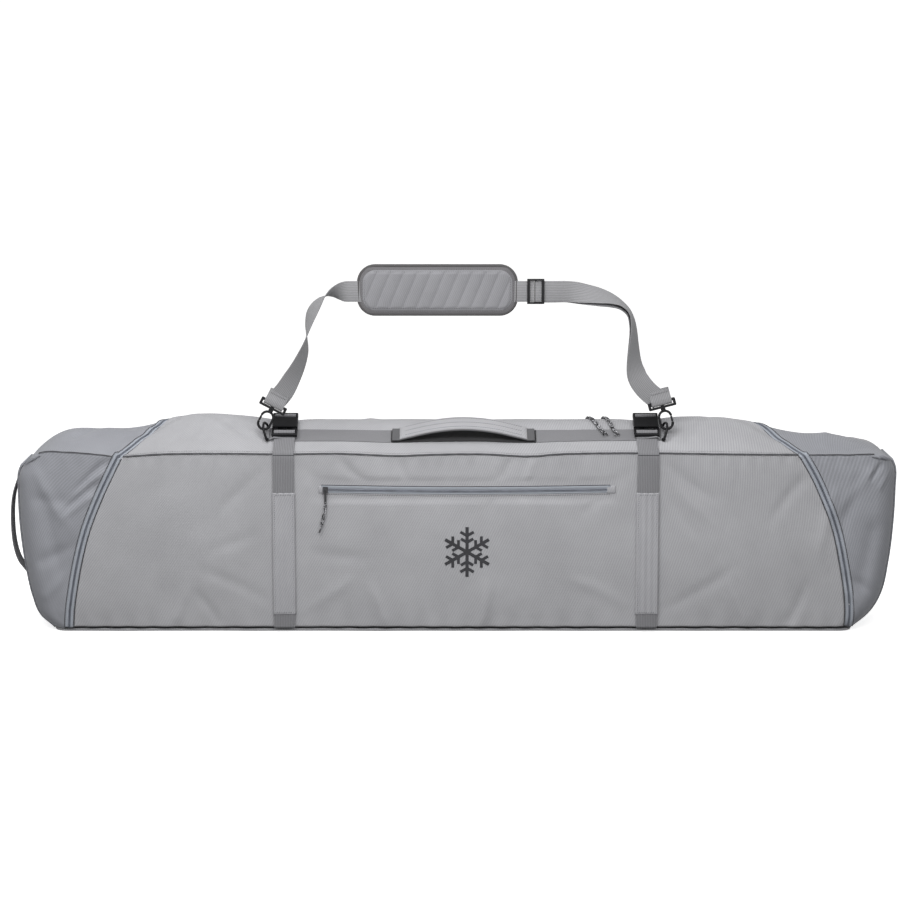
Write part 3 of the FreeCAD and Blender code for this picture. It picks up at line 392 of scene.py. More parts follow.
def frames_along(path, hint):
    """Unit sides and ups along a path; ups start from the hint direction at each point."""
    path = np.asarray(path, float)
    tangent = unit(np.gradient(path, axis=0))
    up = np.broadcast_to(np.asarray(hint, float), path.shape)
    up = unit(up - tangent * np.sum(up * tangent, axis=1, keepdims=True))
    return np.cross(tangent, up), up


def loft(name, rings, finish, closed=False, node=None):
    """Closed skin through a row of rings; open ends are capped, a closed row joins up."""
    count, around = rings.shape[:2]
    faces = grid_faces(count, around, wrap=True).tolist()
    j = np.arange(around)
    k = (j + 1) % around
    last = (count - 1) * around
    if closed:
        faces += np.stack([last + j, j, k, last + k], -1).tolist()
    else:
        faces += [j.tolist(), (last + j)[::-1].tolist()]
    uv = lengths_over(np.concatenate([rings, rings[:, :1]], 1))[:, :-1]
    return link(name, rings, faces, finish, uv=uv, node=node)


def rounded_section(width, height, corner, per_corner=4):
    """Outline of a rounded rectangle, counter-clockwise, as (side, up) pairs."""
    corner = min(corner, width / 2, height / 2) * 0.999
    angles = np.linspace(0, np.pi / 2, per_corner)
    pieces = []
    for turn, (sx, sy) in enumerate([(1, 1), (-1, 1), (-1, -1), (1, -1)]):
        angle = angles + turn * np.pi / 2
        pieces.append(np.stack([sx * (width / 2 - corner) + corner * np.cos(angle),
                                sy * (height / 2 - corner) + corner * np.sin(angle)], -1))
    return np.concatenate(pieces)


def circle(around):
    """Outline of a unit circle, as (side, up) pairs."""
    angle = np.linspace(0, 2 * np.pi, around, endpoint=False)
    return np.stack([np.cos(angle), np.sin(angle)], -1)


def rings_of(path, side, up, section):
    """Rings of (side, up) pairs carried along a path: one section for all points, or one for each."""
    return path[:, None, :] + side[:, None, :] * section[..., 0:1] + up[:, None, :] * section[..., 1:2]


def resample(path, spacing):
    """Points at even spacing along a path of straight spans."""
    run = run_along(path)
    count = max(int(round(run[-1] / spacing)) + 1, 3)
    return read_off(np.linspace(0, run[-1], count), run, path)


def smooth_path(points, spacing=0.003):
    """Smooth curve through given points, sampled evenly."""
    points = np.asarray(points, float)
    run = run_along(points)
    return curve_through(np.linspace(0, run[-1], max(int(run[-1] / spacing) + 1, 8)), run, points)


def ribbon(name, path, up, width, thickness, finish, node=None):
    """Webbing: a thin band with rounded edges carried along a path."""
    side, up = frames_along(path, up)
    section = rounded_section(width, thickness, thickness * 0.45)
    return loft(name, rings_of(path, side, up, section), finish, node=node)


def tube(name, path, hint, radius, finish, around=10, node=None):
    """Round bar or cord along a path; radius is one number or one per point."""
    side, up = frames_along(path, hint)
    radius = np.broadcast_to(np.asarray(radius, float), (len(path),))
    return loft(name, rings_of(path, side, up, circle(around) * radius[:, None, None]), finish, node=node)


STITCH_SIDES = 6
STITCH_RADIUS = 0.00032
STITCH_STATIONS = ((0.0, -0.0001, 0.5), (0.2, 0.0003, 1.0), (0.8, 0.0003, 1.0), (1.0, -0.0001, 0.5))
SHORT_STITCH = {"pitch": 0.0034, "length": 0.0024}


def stitches(name, path, outward, finish, pitch=0.0042, length=0.0028):
    """Row of thread stitches along a path: short rods that lie on the cloth.

    Each station of a rod gives its share of the length, its lift off the cloth and its relative size.
    """
    run = run_along(path)
    middle = np.arange(pitch / 2, run[-1], pitch)
    start = read_off(middle - length / 2, run, path)
    reach = read_off(middle + length / 2, run, path) - start
    up = unit(read_off(middle, run, np.broadcast_to(np.asarray(outward, float), path.shape)))
    side = np.cross(unit(reach), up)
    rod = circle(STITCH_SIDES) * STITCH_RADIUS
    rings = np.stack([rings_of(start + reach * share + up * lift, side, up, rod * size)
                      for share, lift, size in STITCH_STATIONS], 1)
    corner = np.arange(STITCH_SIDES)
    levels = len(STITCH_STATIONS)
    base = np.arange(len(middle))[:, None] * STITCH_SIDES * levels
    faces = (grid_faces(levels, STITCH_SIDES, wrap=True)[None] + base[:, :, None]).reshape(-1, 4).tolist()
    faces += (base + corner).tolist()
    faces += (base + STITCH_SIDES * (levels - 1) + corner[::-1]).tolist()
    return link(name, rings, faces, finish)


# ---------------------------------------------------------------- materials

def feed(node, **values):
    """Set a node's inputs, whose names are given with underscores for spaces."""
    for key, value in values.items():
        node.inputs[key.replace("_", " ")].default_value = value
    return node


def nodes_of(name):
    """Fresh material with its shader and two helpers: one adds a node, one joins two nodes."""
    material = bpy.data.materials.new(name)
    material.use_nodes = True
    tree = material.node_tree

    def add(kind, **values):
        return feed(tree.nodes.new(kind), **values)

    def join(start, output, end, entry):
        tree.links.new(start.outputs[output], end.inputs[entry])

    return material, tree.nodes["Principled BSDF"], add, join


def ramp(add, join, texture, low, high, dark, light):
    """Colour ramp between two greys for a texture's value."""
    node = add("ShaderNodeValToRGB")
    for element, position, colour in zip(node.color_ramp.elements, (low, high), (dark, light)):
        element.position = position
        element.color = (*colour, 1)
    join(texture, "Fac", node, "Fac")
    return node


def emboss(add, join, shader, source, output, strength, distance):
    """Relief of the shader's surface from a node's output."""
    bump = add("ShaderNodeBump", Strength=strength, Distance=distance)
    join(source, output, bump, "Height")
    join(bump, "Normal", shader, "Normal")
    return bump


def scaled(colour, factor):
    """A colour made darker or lighter."""
    return tuple(min(channel * factor, 1.0) for channel in colour)


WAVE_PITCH = 0.314


def cloth(name, colour, rib=0.0020, slant=0.35, contrast=0.10, bump=0.25, blotch=0.10, roughness=0.88,
          cross=0.0):
    """Woven cloth: slanted ribs along the piece's own UV, fine threads, soiling and their relief."""
    material, shader, add, join = nodes_of(name)
    uv = add("ShaderNodeUVMap")
    uv.uv_map = "cloth"
    rotate = add("ShaderNodeMapping", Rotation=(0, 0, slant))
    join(uv, "UV", rotate, "Vector")
    waves = add("ShaderNodeTexWave", Scale=WAVE_PITCH / rib, Distortion=1.2, Detail=2.0, Detail_Scale=1.5)
    waves.bands_direction = "X"
    join(rotate, "Vector", waves, "Vector")
    threads = add("ShaderNodeTexNoise", Scale=900.0, Detail=2.0)
    join(uv, "UV", threads, "Vector")
    patches = add("ShaderNodeTexNoise", Scale=9.0, Detail=4.0, Roughness=0.6)
    join(uv, "UV", patches, "Vector")
    dark, light = scaled(colour, 1 - contrast), scaled(colour, 1 + contrast * 0.6)
    shade = ramp(add, join, waves, 0.15, 0.85, dark, light)
    output = "Color"
    for other in (ramp(add, join, threads, 0.3, 0.7, (0.90,) * 3, (1.06,) * 3),
                  ramp(add, join, patches, 0.3, 0.72, (1 - blotch,) * 3, (1 + blotch * 0.4,) * 3)):
        mix = add("ShaderNodeMix")
        mix.data_type = "RGBA"
        mix.blend_type = "MULTIPLY"
        feed(mix, Factor=1.0)
        join(shade, output, mix, "A")
        join(other, "Color", mix, "B")
        shade, output = mix, "Result"
    join(shade, output, shader, "Base Color")
    relief, output = waves, "Fac"
    if cross > 0:
        picks = add("ShaderNodeTexWave", Scale=WAVE_PITCH / cross, Distortion=0.3)
        picks.bands_direction = "Y"
        join(uv, "UV", picks, "Vector")
        higher = add("ShaderNodeMath")
        higher.operation = "MAXIMUM"
        join(waves, "Fac", higher, 0)
        join(picks, "Fac", higher, 1)
        relief, output = higher, "Value"
    total = add("ShaderNodeMath")
    total.operation = "MULTIPLY_ADD"
    total.inputs[1].default_value = 0.5
    join(threads, "Fac", total, 0)
    join(relief, output, total, 2)
    emboss(add, join, shader, total, "Value", bump, 0.0006)
    feed(shader, Roughness=roughness, Sheen_Weight=0.12, Sheen_Roughness=0.5, Specular_IOR_Level=0.25)
    return material


def hard(name, colour, roughness, metallic=0.0, bump=0.08, specular=0.5):
    """Moulded plastic or coated metal: fine grain in colour, gloss and relief."""
    material, shader, add, join = nodes_of(name)
    place = add("ShaderNodeTexCoord")
    speck = add("ShaderNodeTexNoise", Scale=400.0, Detail=3.0)
    join(place, "Object", speck, "Vector")
    wear = add("ShaderNodeTexNoise", Scale=45.0, Detail=3.0)
    join(place, "Object", wear, "Vector")
    shade = ramp(add, join, wear, 0.3, 0.75, scaled(colour, 0.8), scaled(colour, 1.35))
    join(shade, "Color", shader, "Base Color")
    gloss = add("ShaderNodeMapRange", To_Min=roughness - 0.07, To_Max=roughness + 0.10)
    join(wear, "Fac", gloss, "Value")
    join(gloss, "Result", shader, "Roughness")
    emboss(add, join, shader, speck, "Fac", bump, 0.0003)
    feed(shader, Metallic=metallic, Specular_IOR_Level=specular)
    return material


def braid(name, colour, fleck):
    """Braided cord: dark yarn with light flecks crossing it."""
    material, shader, add, join = nodes_of(name)
    place = add("ShaderNodeTexCoord")
    weave = add("ShaderNodeTexVoronoi", Scale=620.0)
    join(place, "Object", weave, "Vector")
    shade = add("ShaderNodeValToRGB")
    shade.color_ramp.interpolation = "CONSTANT"
    shade.color_ramp.elements[0].color = (*colour, 1)
    shade.color_ramp.elements[1].position = 0.66
    shade.color_ramp.elements[1].color = (*fleck, 1)
    split = add("ShaderNodeSeparateColor")
    join(weave, "Color", split, "Color")
    join(split, "Red", shade, "Fac")
    join(shade, "Color", shader, "Base Color")
    emboss(add, join, shader, weave, "Distance", 0.6, 0.0006).invert = True
    feed(shader, Roughness=0.8)
    return material


def shell_weave(name, colour, contrast=0.10):
    """Slanted twill of the shell."""
    return cloth(name, colour, rib=0.0042, slant=0.42, contrast=contrast, cross=0.0028)


def webbing_weave(name, colour, contrast=0.20):
    """Webbing: ribs straight across the band."""
    return cloth(name, colour, rib=0.0030, slant=1.5708, contrast=contrast, bump=0.5, cross=0.0016,
                 blotch=0.06)


def pad_weave(name, colour):
    """Finer twill of the shoulder pad."""
    return cloth(name, colour, rib=0.0030, slant=0.42, cross=0.0024)


SHELL = shell_weave("shell_cloth", (0.345, 0.345, 0.360))
# Shell cloth made darker and bluer: painted shade for the ends and end corners, which turn away from the
# light.
END_SHELL_PAINTED_SHADE = shell_weave("end_cloth_painted_shade", (0.262, 0.268, 0.292))
SLEEVE = shell_weave("sleeve_cloth", (0.335, 0.335, 0.352), 0.08)
WEBBING = webbing_weave("webbing_weave", (0.190, 0.190, 0.200))
WEBBING_DARK = webbing_weave("webbing_weave_under", (0.095, 0.095, 0.100), 0.18)
# Near-black webbing: painted shadow for the webbing under the carry handle's grip.
WEBBING_PAINTED_SHADOW = webbing_weave("webbing_weave_painted_shadow", (0.026, 0.026, 0.028), 0.18)
TAPE = cloth("zip_tape_weave", (0.330, 0.352, 0.392), rib=0.0014, slant=0.0, bump=0.3)
COIL = hard("zip_coil", (0.115, 0.125, 0.150), 0.42)
# Near-black tubes laid along seams and zip edges: painted shadow lines.
SHADOW_LINE = cloth("seam_shadow_tape", (0.050, 0.051, 0.056))
# Piping cloth coloured near-black: the piping is real, its dark colour paints the seam's shadow line.
PIPING_PAINTED_SHADOW = cloth("piping_cloth_painted_shadow", (0.085, 0.086, 0.092), slant=0.9)
LINING = cloth("lining_cloth", (0.060, 0.060, 0.066), rib=0.0022, slant=0.78, contrast=0.06, roughness=0.7)
BINDING = cloth("binding_grosgrain", (0.078, 0.075, 0.077), rib=0.0018, slant=0.0, contrast=0.16, bump=0.4)
WEBBING_PALE = webbing_weave("shoulder_webbing_weave", (0.255, 0.255, 0.264))
PAD_EDGE = pad_weave("pad_edge_cloth", (0.130, 0.127, 0.133))
PAD = pad_weave("pad_cloth", (0.228, 0.228, 0.241))
THREAD = cloth("thread", (0.270, 0.270, 0.285), rib=0.0010, contrast=0.2)
THREAD_DARK = cloth("thread_dark", (0.060, 0.060, 0.066), rib=0.0010, contrast=0.2)
PLASTIC = hard("black_acetal", (0.007, 0.007, 0.008), 0.46, specular=0.16)
METAL = hard("coated_zinc", (0.035, 0.035, 0.038), 0.30, metallic=0.6)
METAL_DARK = hard("blackened_zinc", (0.010, 0.010, 0.011), 0.34, metallic=0.3)
PRINT = hard("print_ink", (0.016, 0.016, 0.019), 0.6, bump=0.2, specular=0.3)
CORD = braid("pull_cord_braid", (0.012, 0.012, 0.014), (0.38, 0.38, 0.40))

FLAP_CLOTH = ("flap", SHELL, "shell_fabric")
BAG_CLOTH = ("bag", SHELL, "shell_fabric")
# Finish with painted shade for the end faces and the fixed corner panels.
END_CLOTH_PAINTED_SHADE = ("bag", END_SHELL_PAINTED_SHADE, "shell_fabric")
SLEEVE_CLOTH = ("flap", SLEEVE, "shell_fabric")
FLAP_WEBBING = ("flap", WEBBING, "webbing")
FLAP_THREAD = ("flap", THREAD_DARK, "shell_fabric")


# ---------------------------------------------------------------- shell panels

def panel(name, points, finish, node, thickness=SKIN, flip=False, hem=0.0):
    """Padded panel of the shell in place of one node."""
    item = slab(name, points, thickness, finish, flip, hem, node)


SEAM_DROP = 0.0006
PATCH_HEM = 0.003
TRIM = 0.0012
TRIM_HEM = 0.0008


def front_patch(name, left, right, foot, finish, node, columns):
    """Part of the bag's front between two edges given as functions of height."""
    w = row(0, 1, 150)
    u = column(0, 1, columns)
    z = foot + (SEAM_Z - foot) * w
    for _ in range(2):
        x = between(left(z), right(z), u)
        z = foot + (seam_height(x) - SEAM_DROP - foot) * w
    x = between(left(z), right(z), u)
    panel(name, spot(x, front_y(x, z), z), finish, node, hem=PATCH_HEM)


def roof_patch(name, left, right, back, finish, node, columns, rows):
    """Part of the roof between two sides given as functions of y."""
    y = between(FRONT + SEAM_DROP, back, row(0, 1, rows))
    x = between(left(y), right(y), column(0, 1, columns))
    panel(name, spot(x, y, roof_z(x, y)), finish, node, hem=PATCH_HEM)


def build_front():
    """Front of the flap and the two fixed front corners, each from its own foot up to the seam."""
    front_patch("front_panel_cloth", lambda z: flap_left(z) + GAP, lambda z: flap_right(z) - GAP, 0.009,
                FLAP_CLOTH, "front_panel", 620)
    # The fixed front corners take the darker end cloth: painted shade.
    front_patch("left_front_cloth", left_edge, lambda z: flap_left(z) - GAP, FOOT_Z, END_CLOTH_PAINTED_SHADE,
                "left_front_panel", 110)
    front_patch("right_front_cloth", lambda z: flap_right(z) + GAP, right_edge, 0.0072, END_CLOTH_PAINTED_SHADE,
                "right_front_panel", 110)


def build_ends():
    """End faces between the rounded front and rear corners."""
    for name, edge, radius, top in (("left_end", left_edge, LEFT_RADIUS, 0.304),
                                    ("right_end", right_edge, RIGHT_RADIUS, 0.314)):
        y = column(FRONT + radius, REAR - radius, 60)
        z = FOOT_Z + (top - FOOT_Z) * row(0, 1, 90)
        # End faces take the darker end cloth: painted shade.
        panel(name + "_cloth", spot(edge(z), y, z), END_CLOTH_PAINTED_SHADE, name + "_panel", flip=name == "right_end")


def build_rear():
    """Rear panel with rounded ends, padding and two strap grooves."""
    u = column(0, 1, 420)
    w = row(0, 1, 90)
    z = FOOT_Z + 0.327 * w
    x = between(left_edge(z), right_edge(z), u)
    top = seam_height(x) + 0.004 * step(x, -0.76, -0.70) * (1 - step(x, 0.74, 0.79))
    z = FOOT_Z + (top - FOOT_Z) * w
    x = between(left_edge(z), right_edge(z), u)
    ends = corner_back(x - left_edge(z), LEFT_RADIUS) + corner_back(right_edge(z) - x, RIGHT_RADIUS)
    belly = 0.0045 * np.sin(np.pi * np.clip(z / 0.33, 0, 1)) ** 0.7
    pulled = np.clip(near(x, LEFT_STRAP, 0.05) + near(x, RIGHT_STRAP, 0.05), 0, 1)
    fold = 0.0014 * ripple(x, z, 31, 0.2) * np.sin(np.pi * w)
    y = REAR - ends - corner_back(z, 0.012) + (belly * (1 - 0.8 * pulled) + fold) * step(ends, 0.004, 0)
    panel("rear_cloth", spot(x, y, z), BAG_CLOTH, "rear_panel", flip=True, hem=0.002)


def build_floor():
    """Floor panel with rounded long edges and ends."""
    start, end = left_edge(0.006) + 0.001, right_edge(0.006) - 0.001
    x = start + (end - start) * column(0, 1, 300)
    half = 0.0905 - corner_back(np.minimum(x - start, end - x), 0.026)
    y = row(-1, 1, 60) * half
    z = corner_back(half - np.abs(y), 0.006) * 0.6 + 0.0004 * (1 + ripple(x, y, 41, 0.1))
    panel("floor_cloth", spot(x, y, z), BAG_CLOTH, "bottom_panel", 0.0035, flip=True)


def roof_limit_left(y):
    """X where the roof's left end comes down onto the end face."""
    return -0.779 + corner_back(np.minimum(y - FRONT, REAR - y), 0.030)


def roof_limit_right(y):
    """X where the roof's right end comes down onto the end face."""
    return 0.805 - corner_back(np.minimum(y - FRONT, REAR - y), 0.034)


def rear_strip_front(x):
    """Front edge of the rear strip: set back beside the zip, level with it at the ends."""
    beside = step(x, -0.516, -0.508) * (1 - step(x, 0.550, 0.558))
    return ZIP_Y + 0.0006 + (GAP - 0.0006) * beside


def build_roof():
    """Flap roof, the two fixed roof corners and the rear strip."""
    roof_patch("top_panel_cloth", lambda y: roof_left(y) + GAP, lambda y: roof_right(y) - GAP, ZIP_Y - GAP,
               FLAP_CLOTH, "top_panel", 560, 90)
    # The fixed roof corners take the darker end cloth: painted shade.
    roof_patch("left_top_cloth", roof_limit_left, lambda y: roof_left(y) - GAP, ZIP_Y + 0.0004, END_CLOTH_PAINTED_SHADE,
               "left_top_panel", 120, 80)
    roof_patch("right_top_cloth", lambda y: roof_right(y) + GAP, roof_limit_right, ZIP_Y + 0.0004, END_CLOTH_PAINTED_SHADE,
               "right_top_panel", 120, 80)
    u = column(0, 1, 520)
    w = row(0, 1, 40)
    y = between(ZIP_Y, REAR, w)
    x = between(roof_limit_left(y), roof_limit_right(y), u)
    y = between(rear_strip_front(x), REAR, w)
    x = between(roof_limit_left(y), roof_limit_right(y), u)
    panel("rear_top_cloth", spot(x, y, roof_z(x, y)), BAG_CLOTH, "rear_top_panel", hem=0.002)


# ---------------------------------------------------------------- zips

def zip_line_points(spacing=0.002):
    """Centre line of the main zip: up the left front, round the roof and down the right front."""
    z = np.linspace(0.009, 0.326, 160)
    y = np.linspace(FRONT + 0.003, ZIP_Y - 0.012, 70)
    x = np.linspace(-0.500, 0.542, 520)
    fronts = [spot(side(z), front_y(side(z), z) + 0.0008, z) for side in (flap_left, flap_right)]
    roofs = [spot(side(y), y, roof_z(side(y), y) - 0.0008) for side in (roof_left, roof_right)]
    back = spot(x, ZIP_Y, roof_z(x, 0 * x + ZIP_Y) - 0.0008)
    return resample(np.concatenate([fronts[0], roofs[0], back, roofs[1][::-1], fronts[1][::-1]]), spacing)


def outward_of(path):
    """Outward direction at points of the shell: forward on the front, up and forward or back on the roof."""
    x, y, height = path.T
    front_part = (step(0.333 - height, 0.0, 0.010) * step(-0.080 - y, 0.0, 0.012))[:, None]
    d = 0.0015
    slope = (roof_z(x, y + d) - roof_z(x, y - d)) / (2 * d)
    return unit(FACING * front_part + spot(0, -slope, 1) * (1 - front_part))


MAIN_TAPE = 0.0088
MAIN_STITCH = 0.0068
EDGE_LIFT = 0.0004
TAPE_GAP = 0.0004
TAPE_THICKNESS = 0.0006
COIL_PITCH = 0.00075
COIL_REACH = 0.0012
COIL_LIFT = 0.0006


def zip_half(name, path, out, side_sign, tape_width, node, body, coil_radius=0.0011):
    """Half a reverse-coil zip: the woven tape and a row of coil humps along its inner edge."""
    side, up = frames_along(path, out)
    inner = path + side * TAPE_GAP * side_sign
    edge = path + side * tape_width * side_sign
    grid = between(inner[:, None, :], edge[:, None, :], np.linspace(0, 1, 5)[None, :, None])
    slab(name + "_tape", grid, TAPE_THICKNESS, (body, TAPE, "zip_tape"), flip=side_sign > 0, node=node)
    run = run_along(path)
    fine = np.linspace(0, run[-1], int(run[-1] / COIL_PITCH))
    place, lift, across = (read_off(fine, run, values) for values in (path, up, side))
    place = place + across * (COIL_REACH * side_sign) + lift * COIL_LIFT
    pulse = 0.5 + 0.5 * np.cos(np.arange(len(fine)) * np.pi)
    size = np.stack([0.00105 - 0.00020 * pulse, coil_radius * (0.55 + 0.45 * pulse)], -1)
    rings = rings_of(place, across, lift, circle(6) * size[:, None, :])
    loft(name + "_coil", rings, (body, COIL, "zip_tape"))


def build_main_zip():
    """Both halves of the main zip with their stitched edges, and a near-black tube along each edge that
    paints the shadow gap between cloth and tape.
    """
    path = zip_line_points()
    out = outward_of(path)
    zip_half("main_zip_flap", path, out, 1, MAIN_TAPE, "main_zip_flap_tape", "flap")
    zip_half("main_zip_bag", path, out, -1, MAIN_TAPE, "main_zip_body_tape", "bag")
    side, up = frames_along(path, out)
    for name, sign, body, radius in (("main_zip_flap", 1, "flap", 0.0009),
                                     ("main_zip_bag", -1, "bag", 0.0006)):
        # The tube along each zip edge is a painted shadow line for the gap between the cloth's edge and the
        # tape.
        welt = path + side * sign * (GAP + EDGE_LIFT) + up * EDGE_LIFT
        tube(name + "_shadow_line", welt, up, radius, (body, SHADOW_LINE, "zip_tape"), around=8)
        line = path + side * sign * MAIN_STITCH + up * EDGE_LIFT
        stitches(name + "_stitches", line, up, (body, THREAD, "zip_tape"))


def pocket_zip_z(x):
    """Height of the pocket zip, which sags a little between its ends."""
    share = np.clip((x + 0.233) / 0.523, 0, 1)
    return 0.2645 - 0.0030 * np.sin(np.pi * share)



def beside_pocket(x, rise, lift):
    """Points on the front at a height above the pocket zip, lifted off the cloth."""
    z = pocket_zip_z(x) + rise
    return spot(x, front_y(x, z) - lift, z)


def build_pocket():
    """Pocket zip on the flap: two tapes with coils, a folded lip above, a near-black tube above the lip as a
    painted shadow line, and a stitched facing.
    """
    path = beside_pocket(np.linspace(-0.229, 0.286, 260), 0, 0.0008)
    out = np.broadcast_to(FACING, path.shape)
    zip_half("pocket_zip_upper", path, out, -1, 0.0052, "pocket_zip_upper_tape", "flap", 0.0009)
    zip_half("pocket_zip_lower", path, out, 1, 0.0058, "pocket_zip_lower_tape", "flap", 0.0009)
    x = np.linspace(-0.2335, 0.2905, 240)
    ribbon("pocket_lip", beside_pocket(x, 0.0052, 0.0010), (0, -1, -0.2), 0.0050, 0.0016,
           ("flap", TAPE, "shell_fabric"))
    stitches("pocket_lower_stitches", beside_pocket(x, -0.0085, 0.0004), FACING, FLAP_THREAD)
    # Near-black tube above the lip: painted shadow line.
    tube("pocket_upper_seam_shadow", beside_pocket(x, 0.0084, 0.0004), FACING, 0.0007,
         ("flap", SHADOW_LINE, "shell_fabric"))
    for index, (start, end) in enumerate(((-0.2385, -0.2275), (0.2845, 0.3005))):
        w = row(-0.0075, 0.0075, 12)
        puff = 0.0022 * np.sqrt(np.clip(1 - (w / 0.0078) ** 2, 0, 1))
        slab("pocket_garage_%d" % index, beside_pocket(column(start, end, 12), w, puff), TRIM,
             SLEEVE_CLOTH, hem=TRIM_HEM)
    x = column(-0.224, 0.281, 60)
    z = row(0.064, 0.272, 40)
    y = front_y(x, z) + 0.0062 + 0.0008 * ripple(x, z, 51, 0.06)
    slab("pocket_lining_cloth", spot(x, y, z), TRIM, ("flap", LINING, "lining"), node="pocket_lining")


def along_seam(start, end, count, forward, above):
    """Points along the upper front seam, a little in front of it and above it."""
    x = np.linspace(start, end, count)
    z = seam_height(x)
    return spot(x, front_y(x, z) - forward, z + above)


def build_piping():
    """Piping along the flap's upper front seam, and thinner piping on the fixed corners; the piping is real,
    its near-black colour paints the seam's shadow line.
    """
    hint = (0, -0.6, 0.8)
    left, right = flap_left(LEFT_SEAM_Z), flap_right(RIGHT_SEAM_Z)
    tube("seam_piping_cloth", along_seam(left + 0.010, right - 0.010, 620, 0.0006, 0.0008), hint, 0.0015,
         ("flap", PIPING_PAINTED_SHADOW, "binding"), node="seam_piping")
    for name, start, end in (("left_seam_piping", -0.744, left - 0.010),
                             ("right_seam_piping", right + 0.010, 0.768)):
        tube(name, along_seam(start, end, 90, 0.0003, 0.0004), hint, 0.0011, ("bag", PIPING_PAINTED_SHADOW, "binding"))
    x = np.linspace(flap_left(0.32) + 0.012, flap_right(0.32) - 0.012, 700)
    stitches("seam_stitches", lying(x, 0.007, 0.0003), SLOPE_UP, ("flap", THREAD, "shell_fabric"))


# ---------------------------------------------------------------- straps and sleeves

def on_slope(x, s, n):
    """World points from X, the distance up the roof's slope and the lift off it."""
    x, s, n = np.broadcast_arrays(x, s, n)
    return ROOF_BASE + spot(x, 0, 0) + s[..., None] * SLOPE + n[..., None] * SLOPE_UP


def side_profile(pairs, x, spacing=0.003):
    """Smooth path at one X through given (y, z) pairs."""
    return smooth_path([(x, y, z) for y, z in pairs], spacing)


def slope_pairs(pairs):
    """(y, z) pairs from (distance up the slope, lift off it) pairs."""
    return [(FRONT + s * SLOPE[1] + n * SLOPE_UP[1], SEAM_Z + s * SLOPE[2] + n * SLOPE_UP[2])
            for s, n in pairs]


FRONT_RUN = [(-0.0990, 0.009), (-0.0992, 0.060), (-0.0993, 0.150), (-0.0992, 0.250), (-0.0991, 0.312),
             (-0.0988, 0.326), (-0.0965, 0.3335)]
OVER_SEAM = [(0.008, 0.0040), (0.020, 0.0034), (0.032, 0.0042), (0.041, 0.0048), (0.0470, 0.0068),
             (0.0490, 0.0105), (0.0508, 0.0146), (0.0546, 0.0148), (0.0566, 0.0105), (0.0556, 0.0055),
             (0.0490, 0.0026), (0.0380, 0.0020), (0.0260, 0.0016)]
UNDER_BUCKLE = [(0.1050, 0.0030), (0.1150, 0.0014), (0.1290, -0.0005)]
TOP_RUN = [(-0.0050, 0.3790), (0.0100, 0.3795), (0.0220, 0.3785), (0.0322, 0.3740)]
BUCKLE_LOOP = [(0.0975, 0.0040), (0.0978, 0.0120), (0.0985, 0.0176), (0.1010, 0.0176), (0.1022, 0.0120),
               (0.1034, 0.0060), (0.1110, 0.0052)]
REAR_RUN = [(0.0532, 0.3625), (0.0700, 0.3535), (0.0900, 0.3420), (0.0962, 0.3365), (0.0982, 0.3260),
            (0.0984, 0.2400), (0.0984, 0.1200), (0.0978, 0.0090)]


def band(name, pairs, x, thickness, finish, node=None, width=WEB, spacing=0.003):
    """Webbing that lies in a plane of one X: its outward side is the path's tangent turned a quarter."""
    path = side_profile(pairs, x, spacing)
    tangent = np.gradient(path, axis=0)
    hint = spot(0, -tangent[:, 2], tangent[:, 1])
    ribbon(name, path, hint, width, thickness, finish, node=node)
    return path, hint


def build_straps():
    """Compression webbing on the front, between buckle and zip, and on the rear."""
    for side, x in (("left", LEFT_STRAP), ("right", RIGHT_STRAP)):
        path, hint = band("front_strap_webbing_" + side, FRONT_RUN + slope_pairs(OVER_SEAM), x, 0.0015,
                          FLAP_WEBBING, "front_strap_" + side)
        # Near-black tube across the webbing at the seam: painted shadow line.
        seam = np.argmin(np.abs(path[:, 2] - 0.3285))
        line = path[seam] + hint[seam] * 0.0012 + spot(np.linspace(-0.0186, 0.0186, 40), 0, 0)
        tube("seam_crossing_shadow_" + side, line, FACING, 0.0011, ("flap", SHADOW_LINE, "binding"))
        band("top_strap_webbing_" + side, slope_pairs(UNDER_BUCKLE) + TOP_RUN, x, 0.0017, FLAP_WEBBING,
             "top_strap_" + side)
        band("buckle_loop_webbing_" + side, slope_pairs(BUCKLE_LOOP), x, 0.0016,
             ("buckle_" + side, WEBBING, "webbing"), width=0.0375, spacing=0.001)
        band("rear_strap_webbing_" + side, REAR_RUN, x, 0.0018, ("bag", WEBBING, "webbing"),
             "rear_strap_" + side)


SLEEVE_HALF = 0.0215
SLEEVE_FOOT = 0.034
SLEEVE_HEAD = 0.259
SLEEVE_ROW = 0.0166
SLEEVE_ROW_Y = -0.1004
SLEEVE_END_Y = -0.1010


